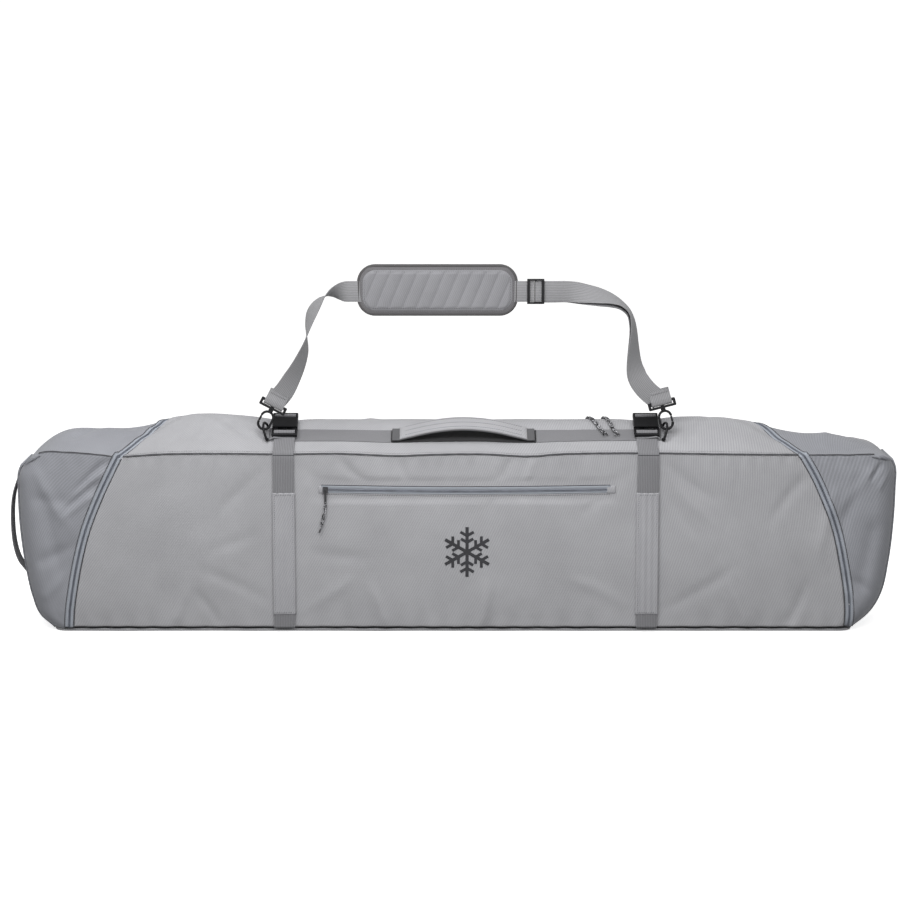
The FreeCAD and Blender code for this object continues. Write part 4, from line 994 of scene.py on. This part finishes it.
def build_sleeves():
    """Fabric sleeves over the compression webbing, with rolled edges and stitch rows."""
    for side, middle in (("left", LEFT_STRAP), ("right", RIGHT_STRAP)):
        u = column(-SLEEVE_HALF, SLEEVE_HALF, 48)
        z = row(SLEEVE_FOOT, SLEEVE_HEAD, 150)
        across = np.abs(u)
        rise = np.sqrt(np.clip(1 - ((across - 0.0165) / 0.0050).clip(0, 1) ** 2, 0, 1))
        welt = 0.0007 * near(across, 0.0193, 0.0014)
        groove = -0.0007 * near(across, SLEEVE_ROW, 0.0008)
        soft = 0.0004 * ripple(middle + u, 0.4 * z, 61, 0.05) + 0.0005 * np.cos(across * 2 * np.pi / 0.0112)
        y = -0.0953 - 0.0056 * rise - welt - groove + soft * rise
        slab("sleeve_cloth_" + side, spot(middle + u, y, z), TRIM, SLEEVE_CLOTH, hem=TRIM_HEM,
             node="strap_sleeve_" + side)
        z = np.linspace(0.036, 0.257, 120)
        x = np.linspace(middle - 0.015, middle + 0.015, 20)
        for label, line in (("a", spot(middle - SLEEVE_ROW, SLEEVE_ROW_Y, z)),
                            ("b", spot(middle + SLEEVE_ROW, SLEEVE_ROW_Y, z)),
                            ("foot", spot(x, SLEEVE_END_Y, 0.0375)),
                            ("head", spot(x, SLEEVE_END_Y, 0.2555))):
            stitches("sleeve_stitches_%s_%s" % (side, label), line, FACING, FLAP_THREAD)


# ---------------------------------------------------------------- roof webbing, rings and handle

def lying(x, s, lift):
    """Points on the roof at a distance up its slope, lifted off the cloth."""
    y = FRONT + s * SLOPE[1]
    return spot(x, y, roof_z(np.asarray(x), y) + lift)


TOP_WEBBING_LOW = 0.040
TOP_WEBBING_MIDDLE = 0.058
TOP_WEBBING_HIGH = 0.076
RING_LOOP_RADIUS = 0.0034


def build_top_webbing():
    """Webbing along the roof between the handle and the rings, folded round each ring's bar."""
    for side, ring, inner, sign in (("left", -0.333, -0.108, 1), ("right", 0.3885, 0.158, -1)):
        s = row(TOP_WEBBING_LOW, TOP_WEBBING_HIGH, 26)
        edge = np.minimum(s - TOP_WEBBING_LOW, TOP_WEBBING_HIGH - s)
        grid = lying(column(ring + sign * 0.006, inner, 130), s, 0.0019 - 0.0008 * np.exp(-edge / 0.0015))
        slab("top_webbing_cloth_" + side, grid, 0.0017, FLAP_WEBBING, flip=sign < 0,
             node="top_webbing_" + side)
        middle = TOP_WEBBING_MIDDLE
        roof = roof_z(np.array(ring), np.array(FRONT + middle * SLOPE[1]))
        ground = min((float(roof) - SEAM_Z - middle * SLOPE[2]) / SLOPE_UP[2], 0.002)
        turns = np.linspace(-0.5 * np.pi, 1.5 * np.pi, 40)[4:-4]
        loop = on_slope(ring - sign * RING_LOOP_RADIUS * np.cos(turns), middle,
                        0.0046 + RING_LOOP_RADIUS * np.sin(turns))
        tail_x = ring + sign * np.array([0.048, 0.030, 0.012])
        under = on_slope(tail_x, middle, np.array([0.0006, 0.0006, 0.0009]) + ground)
        over = on_slope(tail_x[::-1], middle, np.array([0.0072, 0.0044, 0.0040]) + ground)
        path = resample(np.concatenate([under, loop, over]), 0.0012)
        hint = np.cross(np.gradient(path, axis=0), SLOPE) * -sign
        ribbon("ring_loop_webbing_" + side, path, hint, 0.0355, 0.0015, FLAP_WEBBING)
        run = np.linspace(ring + sign * 0.014, ring + sign * 0.046, 24)
        climb = np.linspace(0.0440, 0.0720, 20)
        for label, line in (("a", lying(run, 0.0435, 0.0052)), ("b", lying(run, 0.0725, 0.0052)),
                            ("c", lying(ring + sign * 0.016, climb, 0.0053)),
                            ("d", lying(ring + sign * 0.045, climb, 0.0053))):
            stitches("ring_loop_stitches_%s_%s" % (side, label), line, SLOPE_UP,
                     ("flap", THREAD_DARK, "webbing"), **SHORT_STITCH)


GRIP_START = -0.092
GRIP_LENGTH = 0.233
GRIP_HEIGHT = 0.0225
GRIP_ROW = 0.0130
GRIP_SHARES = [0.0, 0.1, 0.22, 0.36, 0.5, 0.64, 0.78, 0.9, 1.0]
GRIP_RISES = [0.0, 0.30, 0.64, 0.90, 1.0, 0.90, 0.64, 0.30, 0.0]


def grip_lift(x):
    """Lift of the carry handle's arch off the roof's slope."""
    share = np.clip((x - GRIP_START) / GRIP_LENGTH, 0, 1)
    return GRIP_HEIGHT * through(share, GRIP_SHARES, GRIP_RISES)



def build_handle():
    """Carry handle: webbing core with dark ends and a wrapped, stitched grip over the sewn-down webbing,
    which is coloured near-black as painted shadow of the grip.
    """
    # The webbing under the grip is coloured near-black: painted shadow of the grip.
    under = lying(column(-0.1075, 0.1575, 120), row(TOP_WEBBING_LOW, TOP_WEBBING_HIGH, 14), 0.0011)
    slab("handle_base_webbing", under, 0.0009, ("flap", WEBBING_PAINTED_SHADOW, "webbing"))
    x = np.linspace(-0.1055, 0.1545, 110)
    path = on_slope(x, TOP_WEBBING_MIDDLE, grip_lift(x) + 0.0026)
    ribbon("handle_core_webbing", path, SLOPE_UP, 0.0365, 0.0022, ("carry_handle", WEBBING_DARK, "webbing"),
           node="handle_webbing")
    x = np.linspace(-0.0915, 0.1405, 180)
    path = on_slope(x, 0.0605, grip_lift(x) + 0.0030)
    side, up = frames_along(path, SLOPE_UP)
    share = (x - x[0]) / (x[-1] - x[0])
    ends = np.sqrt(np.clip(1 - (np.clip(0.03 - np.minimum(share, 1 - share), 0, 1) / 0.03) ** 2, 0.25, 1))
    puff = 1 + 0.16 * ripple(x, 0 * x, 71, 0.05) + 0.12 * np.sin(np.pi * share)
    section = rounded_section(0.0370, 0.0062, 0.0029, 5) * spot(1, puff * ends, 0)[:, None, :2]
    grip = loft("handle_grip_wrap", rings_of(path, side, up, section),
                ("carry_handle", SHELL, "shell_fabric"), node="handle_grip")
    inner = slice(8, -8)
    for label, offset in (("a", -GRIP_ROW), ("b", GRIP_ROW), ("c", 0.0)):
        line = path[inner] + side[inner] * offset + up[inner] * (0.0031 * puff[inner])[:, None]
        stitches("grip_stitches_" + label, line, SLOPE_UP, ("carry_handle", THREAD_DARK, "shell_fabric"))


END_RUN = [(-0.7745, 0.074), (-0.7785, 0.088), (-0.7860, 0.100), (-0.7985, 0.117), (-0.8065, 0.142),
           (-0.8105, 0.190), (-0.8068, 0.239), (-0.7965, 0.272), (-0.7890, 0.287), (-0.7872, 0.298)]


def build_end_handle():
    """Webbing loop sewn to the left end of the bag."""
    path = smooth_path([(x, 0, z) for x, z in END_RUN])
    tangent = np.gradient(path, axis=0)
    ribbon("end_handle_webbing", path, spot(-tangent[:, 2], 0, tangent[:, 0]), WEB, 0.0022,
           ("bag", WEBBING, "webbing"), node="end_handle")


# ---------------------------------------------------------------- shoulder strap

LEFT_TWIST = [(0.152, 0.6210, 19), (0.060, 0.6210, 19), (-0.060, 0.6210, 19), (-0.170, 0.6210, 19),
              (-0.188, 0.6208, 18.9), (-0.2015, 0.6200, 15.5), (-0.2135, 0.6175, 9), (-0.2265, 0.6110, 0),
              (-0.2390, 0.5990, -7), (-0.2500, 0.5820, -9.5), (-0.2570, 0.5590, -6), (-0.2605, 0.5370, 0),
              (-0.2655, 0.5120, 7.5), (-0.2745, 0.4880, 12), (-0.2885, 0.4610, 16), (-0.3030, 0.4370, 18.4),
              (-0.3145, 0.4245, 19)]
RIGHT_TWIST = [(0.154, 0.6210, 19), (0.185, 0.6210, 19), (0.212, 0.6209, 19), (0.248, 0.6170, 16),
               (0.272, 0.6130, 12.5), (0.292, 0.6080, 8), (0.311, 0.5990, 3.5), (0.3250, 0.5850, 2.5),
               (0.3315, 0.5660, 4.5), (0.3335, 0.5480, 6.5), (0.3335, 0.5210, 10), (0.3345, 0.4900, 14.5),
               (0.3400, 0.4660, 18), (0.3530, 0.4460, 19), (0.3700, 0.4300, 19), (0.3805, 0.4235, 19)]
STRAP_Y = -0.0544


def twisting_band(stations, spacing=0.002):
    """Path and outward direction of webbing that turns about its own line.

    Each station gives X, Z and half the width seen from the front in millimetres; the turn is the angle
    whose cosine is that half width over 19 mm.
    """
    stations = np.asarray(stations, float)
    points = spot(stations[:, 0], STRAP_Y, stations[:, 1])
    run = run_along(points)
    at = np.linspace(0, run[-1], int(run[-1] / spacing))
    path = curve_through(at, run, points)
    turn = through(at, run, np.arccos(np.clip(stations[:, 2] / HALF_WEB_MM, -1, 1)))[:, None]
    tangent = unit(np.gradient(path, axis=0))
    across = spot(-tangent[:, 2], 0, tangent[:, 0])
    return path, FACING * np.cos(turn) + across * np.sin(turn)


def hook_frame(side):
    """Start point and the across, depth and lengthwise directions of a hook and its loop."""
    x, tilt = (-0.3402, 27.5) if side == "left" else (0.3957, -14.5)
    turn = np.radians(tilt)
    base = np.array([x, STRAP_Y, 0.37705])
    across = np.array([np.cos(turn), 0.0, -np.sin(turn)])
    depth = np.array([0.0, 1.0, 0.0])
    along = np.array([np.sin(turn), 0.0, np.cos(turn)])
    return base, across, depth, along


FOLDED_WEB = 0.0375
WRAP = [(0.0017, 0.0680), (0.0017, 0.0620), (0.0030, 0.0540), (0.0047, 0.0475), (0.0049, 0.0440),
        (0.0044, 0.0400), (0.0000, 0.0378), (-0.0044, 0.0400), (-0.0049, 0.0440), (-0.0047, 0.0475),
        (-0.0030, 0.0540), (-0.0017, 0.0600), (-0.0016, 0.0640)]



def build_shoulder_strap():
    """Two twisting runs of webbing, their folded ends and the second layer of the adjustable run."""
    finish = ("shoulder_strap", WEBBING_PALE, "webbing")
    for side, stations in (("left", LEFT_TWIST), ("right", RIGHT_TWIST)):
        path, hint = twisting_band(stations)
        ribbon("shoulder_webbing_" + side, path, hint, WEB, 0.0018, finish, node="strap_webbing_" + side)
        base, across, depth, along = hook_frame(side)
        wrap = np.array(WRAP)
        loop = smooth_path(base + wrap[:, 0:1] * depth + wrap[:, 1:2] * along, 0.0012)
        inward = -np.cross(np.gradient(loop, axis=0), across)
        ribbon("strap_end_webbing_" + side, loop, inward, FOLDED_WEB, 0.0015, finish)
        for label, where in (("a", 0.0560), ("b", 0.0600)):
            line = base + column(-0.0155, 0.0155, 18) * across + depth * -0.0026 + where * along
            stitches("strap_end_stitches_%s_%s" % (side, label), line, FACING,
                     ("shoulder_strap", THREAD_DARK, "webbing"), **SHORT_STITCH)
    path, hint = twisting_band([(x + 0.002, z - 0.0015, a) for x, z, a in RIGHT_TWIST[:-3]])
    spread = 0.0026 + 0.0040 * np.sin(np.pi * column(0, 1, len(path))) ** 2
    ribbon("shoulder_webbing_second", path - unit(hint) * spread, hint, 0.0378, 0.0016,
           ("shoulder_strap", WEBBING, "webbing"))


PAD_MIDDLE = (-0.02275, 0.6233)
PAD_HALF = (0.14375, 0.045)
PAD_CORNER = 0.030
PAD_FACE_INSET = 0.0085
QUILT_PITCH = 0.0246
QUILT_SLANT = 0.42


def pad_outline(share_x, share_z, inset):
    """Point of the rounded pad outline, shrunk by inset: columns follow the rounded ends."""
    half_x, half_z = PAD_HALF[0] - inset, PAD_HALF[1] - inset
    corner = PAD_CORNER - inset * 0.8
    z = share_z * half_z
    narrow = corner_back(half_z - np.abs(z), corner)
    x = share_x * (half_x - narrow)
    gap = np.minimum(half_z - np.abs(z), (1 - np.abs(share_x)) * (half_x - narrow))
    return np.broadcast_arrays(PAD_MIDDLE[0] + x, PAD_MIDDLE[1] + z, gap)


def quilt(x, z):
    """Depth of the slanted quilting: channels at even spacing across the slant."""
    across = (x - (z - PAD_MIDDLE[1]) * QUILT_SLANT - PAD_MIDDLE[0]) / QUILT_PITCH
    return np.abs(np.sin(np.pi * across)) ** 0.55


def rounded_rise(gap, reach):
    """Quarter-round rise from 0 at the rim to 1 at a reach in from it."""
    return np.sqrt(np.clip(1 - (np.clip(reach - gap, 0, 1) / reach) ** 2, 0, 1))


def pad_piece(name, front, back, x, z, material, node):
    """Closed and padded piece of the shoulder pad from the depths of its front and back."""
    item = two_skins(name, spot(x, front, z), spot(x, back, z), ("shoulder_pad", material, "pad_fabric"),
                     node=node)


def build_pad():
    """Shoulder pad: cushioned body, quilted face panel, bound edge and stitch rows."""
    share_x = np.sin(column(-np.pi / 2, np.pi / 2, 260))
    share_z = np.sin(row(-np.pi / 2, np.pi / 2, 110))
    x, z, gap = pad_outline(share_x, share_z, 0.0)
    crown = rounded_rise(gap, 0.012)
    soft = 0.0005 * ripple(x, z, 81, 0.05)
    pad_piece("pad_cushion", -0.0515 - (0.0050 + soft) * crown, -0.0505 + (0.0048 + soft) * crown, x, z,
              PAD_EDGE, "shoulder_pad_back")
    x, z, gap = pad_outline(share_x, share_z, PAD_FACE_INSET)
    puff = 0.0010 + 0.0024 * quilt(x, z) * step(gap, 0.0, 0.008)
    pad_piece("pad_face_quilted", -0.0563 - puff * rounded_rise(gap, 0.006), -0.0555, x, z, PAD,
              "shoulder_pad_face")
    dx, dz = circle(400).T
    reach_x, reach_z = (half - 0.0012 - PAD_CORNER for half in PAD_HALF)
    outline = spot(PAD_MIDDLE[0] + np.sign(dx) * reach_x + PAD_CORNER * dx, -0.0510,
                   PAD_MIDDLE[1] + np.sign(dz) * reach_z + PAD_CORNER * dz)
    outline = resample(np.concatenate([outline, outline[:1]]), 0.0018)[:-1]
    outside = np.cross(FACING, unit(np.roll(outline, -1, axis=0) - np.roll(outline, 1, axis=0)))
    rings = rings_of(outline, -outside, np.broadcast_to(FACING, outline.shape),
                     rounded_section(0.0060, 0.0090, 0.0028))
    loft("pad_binding", rings[::-1], ("shoulder_pad", BINDING, "binding"), closed=True)
    centre = np.array([PAD_MIDDLE[0], 0, PAD_MIDDLE[1]])
    inward = -(outside * np.sign(np.sum(outside * (outline - centre), axis=1))[:, None])
    for name, inset, depth, material, slot_name in (
            ("pad_binding_stitches", 0.0058, -0.0558, THREAD, "binding"),
            ("pad_panel_stitches", 0.0105, -0.0574, THREAD_DARK, "pad_fabric")):
        line = outline + inward * inset
        line[:, 1] = depth
        stitches(name, line, FACING, ("shoulder_pad", material, slot_name))


# ---------------------------------------------------------------- pulls

def nurbs_cord(name, points, diameter, body, node):
    """Cord as one NURBS curve through its route's control points, ten sides round."""
    curve = bpy.data.curves.new(name, "CURVE")
    curve.dimensions = "3D"
    spline = curve.splines.new("NURBS")
    spline.points.add(len(points) - 1)
    for point, place in zip(spline.points, points):
        point.co = (*place, 1.0)
    spline.order_u = 3
    spline.use_endpoint_u = True
    spline.resolution_u = 16
    curve.bevel_depth = diameter / 2
    curve.bevel_resolution = 4
    curve.use_fill_caps = True
    curve.materials.append(CORD)
    item = bpy.data.objects.new(name, curve)
    bpy.context.scene.collection.objects.link(item)
    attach(item, body)
    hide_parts(node)


def pull_knot(name, base, ahead, radius, length, tail, wire, body, node):
    """Overhand knot: cord wound round the two strands and their two frayed tails."""
    finish = (body, CORD, "pull_cord")
    ahead = unit(np.asarray(ahead, float))
    side = unit(np.cross(ahead, (0, 0, 1.0)))
    up = np.cross(side, ahead)
    base = np.asarray(base, float)
    turn = column(0, 2 * np.pi * 2.4, 60)
    share = turn / turn[-1]
    reach = (radius - wire) * (0.82 + 0.18 * np.sin(np.pi * share))
    path = (base + ahead * (length * (0.10 + 0.80 * share))
            + side * (np.cos(turn) * reach) + up * (np.sin(turn) * reach))
    pieces = [tube(name + "_coil", path, ahead, wire, finish, around=12, node=node)]
    run = np.linspace(-length * 0.5, tail, 16)
    out = np.clip(run, 0, None)
    for index, spread in enumerate((-1, 1)):
        drift = 0.16 * spread * out + 0.9 * wire * spread + 0.04 * spread * out ** 2 / tail
        line = base + ahead * (length + run)[:, None] + side * drift[:, None] + up * (0.05 * out)[:, None]
        flare = wire * (1 + 0.10 * step(run, tail * 0.8, tail))
        pieces.append(tube("%s_tail_%d" % (name, index), line, up, flare, finish))
    return pieces


def metres(points):
    """Millimetre points in metres."""
    return [tuple(value / 1000 for value in point) for point in points]


MAIN_LEFT_CORDS = (
    ((256.2, 38.5, 373.2), (257.5, 28.0, 379.6), (260.5, 12.0, 381.2), (265.0, -5.0, 380.4),
     (271.0, -20.0, 373.8), (277.5, -34.0, 366.0)),
    ((252.6, 38.3, 373.2), (253.4, 28.5, 379.8), (256.0, 12.6, 381.4), (260.6, -4.4, 380.9),
     (267.0, -19.8, 374.3), (273.9, -34.2, 366.3)))
MAIN_RIGHT_CORDS = (
    ((284.8, 38.5, 373.2), (286.5, 28.0, 379.6), (289.5, 12.0, 381.2), (292.6, -5.0, 380.4),
     (296.8, -20.0, 373.8), (301.0, -34.0, 366.0)),
    ((281.2, 38.3, 373.2), (282.4, 28.5, 379.8), (285.2, 12.6, 381.4), (288.6, -4.4, 380.9),
     (292.8, -19.8, 374.3), (297.2, -34.2, 366.3)))
POCKET_CORDS = (
    ((-224.4, -100.6, 237.0), (-225.4, -101.6, 226.6), (-227.6, -101.4, 216.2), (-230.4, -100.6, 206.0)),
    ((-227.4, -100.4, 237.2), (-228.8, -101.4, 226.6), (-231.2, -101.2, 216.2), (-233.6, -100.4, 206.0)))
MAIN_CORD = 0.0034
POCKET_CORD = 0.0024
KNOT_OFFSET = np.array([0.00045, -0.00125, 0.0005])


def build_pulls():
    """Cord pulls of the two main sliders and the pocket slider."""
    for side, cords, ahead in (("left", MAIN_LEFT_CORDS, (7.0, -14.5, -7.4)),
                               ("right", MAIN_RIGHT_CORDS, (4.5, -14.5, -7.4))):
        ends = (np.array(cords[0][-1]) + np.array(cords[1][-1])) / 2000 + KNOT_OFFSET
        knot = pull_knot("main_pull_knot_" + side, ends, ahead, 0.0036, 0.0065, 0.013, 0.0015, "pull_" + side,
                         "main_knot_" + side)
        for index, points in enumerate(cords, start=1):
            nurbs_cord("main_pull_cord_%s_%d" % (side, index), metres(points), MAIN_CORD, "pull_" + side,
                       "main_cord_%s_%d" % (side, index))
    knot = pull_knot("pocket_pull_knot", (-0.2321, -0.1006, 0.2055), (-2.0, 0.2, -9.0), 0.0030, 0.0055,
                     0.0150, 0.0011, "pocket_pull", "pocket_knot")
    for index, points in enumerate(POCKET_CORDS, start=1):
        nurbs_cord("pocket_pull_cord_%d" % index, metres(points), POCKET_CORD, "pocket_pull",
                   "pocket_cord_%d" % index)


# ---------------------------------------------------------------- printed crystal

CRYSTAL_MIDDLE = np.array([0.031, 0.150])
ARM = (0.046, 0.0030)
BRANCHES = ((0.018, 0.013), (0.030, 0.014))
BRANCH_HALF = 0.0026
PRINT_LIFT = 0.00035
PRINT_STEP = 0.00001
PRINT_DEPTH = np.array([0.0, 0.0006, 0.0])


def crystal_bars():
    """Start, direction, length and half width of each bar: six arms, each with two pairs of branches."""
    bars = []
    for arm in range(6):
        turn = np.radians(60 * arm + 30)
        along = np.array([np.cos(turn), np.sin(turn)])
        bars.append((CRYSTAL_MIDDLE, along, *ARM))
        for reach, length in BRANCHES:
            for lean in (-1, 1):
                branch = turn + lean * np.radians(60)
                direction = np.array([np.cos(branch), np.sin(branch)])
                bars.append((CRYSTAL_MIDDLE + along * reach, direction, length, BRANCH_HALF))
    return bars


def build_print():
    """Printed snow crystal: each bar is a thin strip that follows the cloth, a hair above the last."""
    skins = []
    faces = []
    rows, columns = 14, 5
    for index, (start, along, length, half) in enumerate(crystal_bars()):
        run = column(0.0, length, rows)
        across = row(-half, half, columns)
        x = start[0] + run * along[0] - across * along[1]
        z = start[1] + run * along[1] + across * along[0]
        top = spot(x, front_y(x, z) - (PRINT_LIFT + PRINT_STEP * index), z)
        skins.append(np.stack([top, top + PRINT_DEPTH]))
        faces.append(skin_faces(rows, columns) + 2 * rows * columns * index)
    link("crystal_print", np.stack(skins), np.concatenate(faces), ("flap", PRINT, "shell_fabric"),
         smooth=False)


# ---------------------------------------------------------------- moulded parts

def dress(node, material):
    """Give a CAD node's object a finish in every material slot."""
    item = bpy.data.objects[node]
    if not item.data.materials:
        item.data.materials.append(material)
    for slot in item.material_slots:
        slot.material = material


def build_hardware():
    """Finishes of the moulded and cast parts that keep their CAD shape."""
    for node in ("buckle_male_left", "buckle_male_right", "buckle_female_left", "buckle_female_right",
                 "d_ring_left", "d_ring_right", "snap_hook_left", "snap_hook_right", "hook_gate_left",
                 "hook_gate_right", "strap_loop_left", "strap_loop_right", "tri_glide"):
        dress(node, PLASTIC)
    for node in ("main_slider_left", "main_slider_right", "pocket_slider", "pocket_tab"):
        dress(node, METAL_DARK if node == "pocket_tab" else METAL)


for build in (build_front, build_ends, build_rear, build_floor, build_roof, build_main_zip, build_pocket,
              build_piping, build_straps, build_sleeves, build_top_webbing, build_handle,
              build_end_handle, build_shoulder_strap, build_pad, build_pulls, build_print,
              build_hardware):
    build()


# ---------------------------------------------------------------- floor, light and camera

def area_light(name, place, target, size, power):
    """Rectangular soft light at a place, turned to a target."""
    data = bpy.data.lights.new(name, "AREA")
    data.shape = "RECTANGLE"
    data.size, data.size_y = size
    data.energy = power
    lamp = bpy.data.objects.new(name, data)
    bpy.context.scene.collection.objects.link(lamp)
    lamp.location = place
    lamp.rotation_euler = (Vector(target) - Vector(place)).to_track_quat("-Z", "Y").to_euler()


FLOOR_RADIUS = 9.0
CURVE_RADIUS = 2.0
FLOOR_DROP = 0.0006
WALL_HEIGHT = 9.0


def build_floor_and_wall():
    """Pale round floor that curves up into a wall on every side."""
    material = bpy.data.materials.new("stage_paint")
    material.use_nodes = True
    feed(material.node_tree.nodes["Principled BSDF"], Base_Color=(0.84, 0.84, 0.84, 1), Roughness=0.9,
         Emission_Color=(1, 1, 1, 1), Emission_Strength=0.72)
    angle = column(0, 2 * np.pi, 73)
    turn = np.linspace(0, np.pi / 2, 24)[1:]
    radius = np.concatenate([[0.0, 4.0, FLOOR_RADIUS], FLOOR_RADIUS + CURVE_RADIUS * np.sin(turn),
                             [FLOOR_RADIUS + CURVE_RADIUS]])
    z = np.concatenate([[0.0, 0.0, 0.0], CURVE_RADIUS - CURVE_RADIUS * np.cos(turn), [WALL_HEIGHT]])
    z = z - FLOOR_DROP
    points = spot(radius * np.cos(angle), radius * np.sin(angle), z)
    mesh = bpy.data.meshes.new("stage_floor")
    mesh.from_pydata(points.reshape(-1, 3), [], grid_faces(*points.shape[:2]))
    mesh.polygons.foreach_set("use_smooth", np.ones(len(mesh.polygons), bool))
    mesh.materials.append(material)
    floor = bpy.data.objects.new("stage_floor", mesh)
    bpy.context.scene.collection.objects.link(floor)
    floor.visible_diffuse = False


CAMERA_DISTANCE = 4.6
CAMERA_TILT = 9.0
CAMERA_TARGET = (0.0, FRONT, 0.3372)
LIGHT_TARGET = (0, 0, 0.25)


def build_lights_and_camera():
    """Even surroundings, two soft lights and the camera, level with the bag and tilted down a little."""
    scene = bpy.context.scene
    world = bpy.data.worlds.new("studio")
    scene.world = world
    world.use_nodes = True
    feed(world.node_tree.nodes["Background"], Color=(1, 1, 1, 1), Strength=0.36)
    area_light("key_light", (-0.55, -0.85, 3.2), LIGHT_TARGET, (1.6, 1.0), 43)
    area_light("front_light", (-0.10, -1.25, 1.20), LIGHT_TARGET, (2.2, 0.4), 25)
    camera_data = bpy.data.cameras.new("camera")
    camera_data.sensor_width = 36
    camera_data.lens = 101.7
    camera = bpy.data.objects.new("camera", camera_data)
    scene.collection.objects.link(camera)
    target = Vector(CAMERA_TARGET)
    tilt = np.radians(CAMERA_TILT)
    camera.location = target + Vector((0, -np.cos(tilt), np.sin(tilt))) * CAMERA_DISTANCE
    camera.rotation_euler = (target - camera.location).to_track_quat("-Z", "Y").to_euler()
    scene.camera = camera
    scene.view_settings.view_transform = "Standard"
    scene.view_settings.look = "None"
    scene.view_settings.exposure = 0.0


build_floor_and_wall()
build_lights_and_camera()
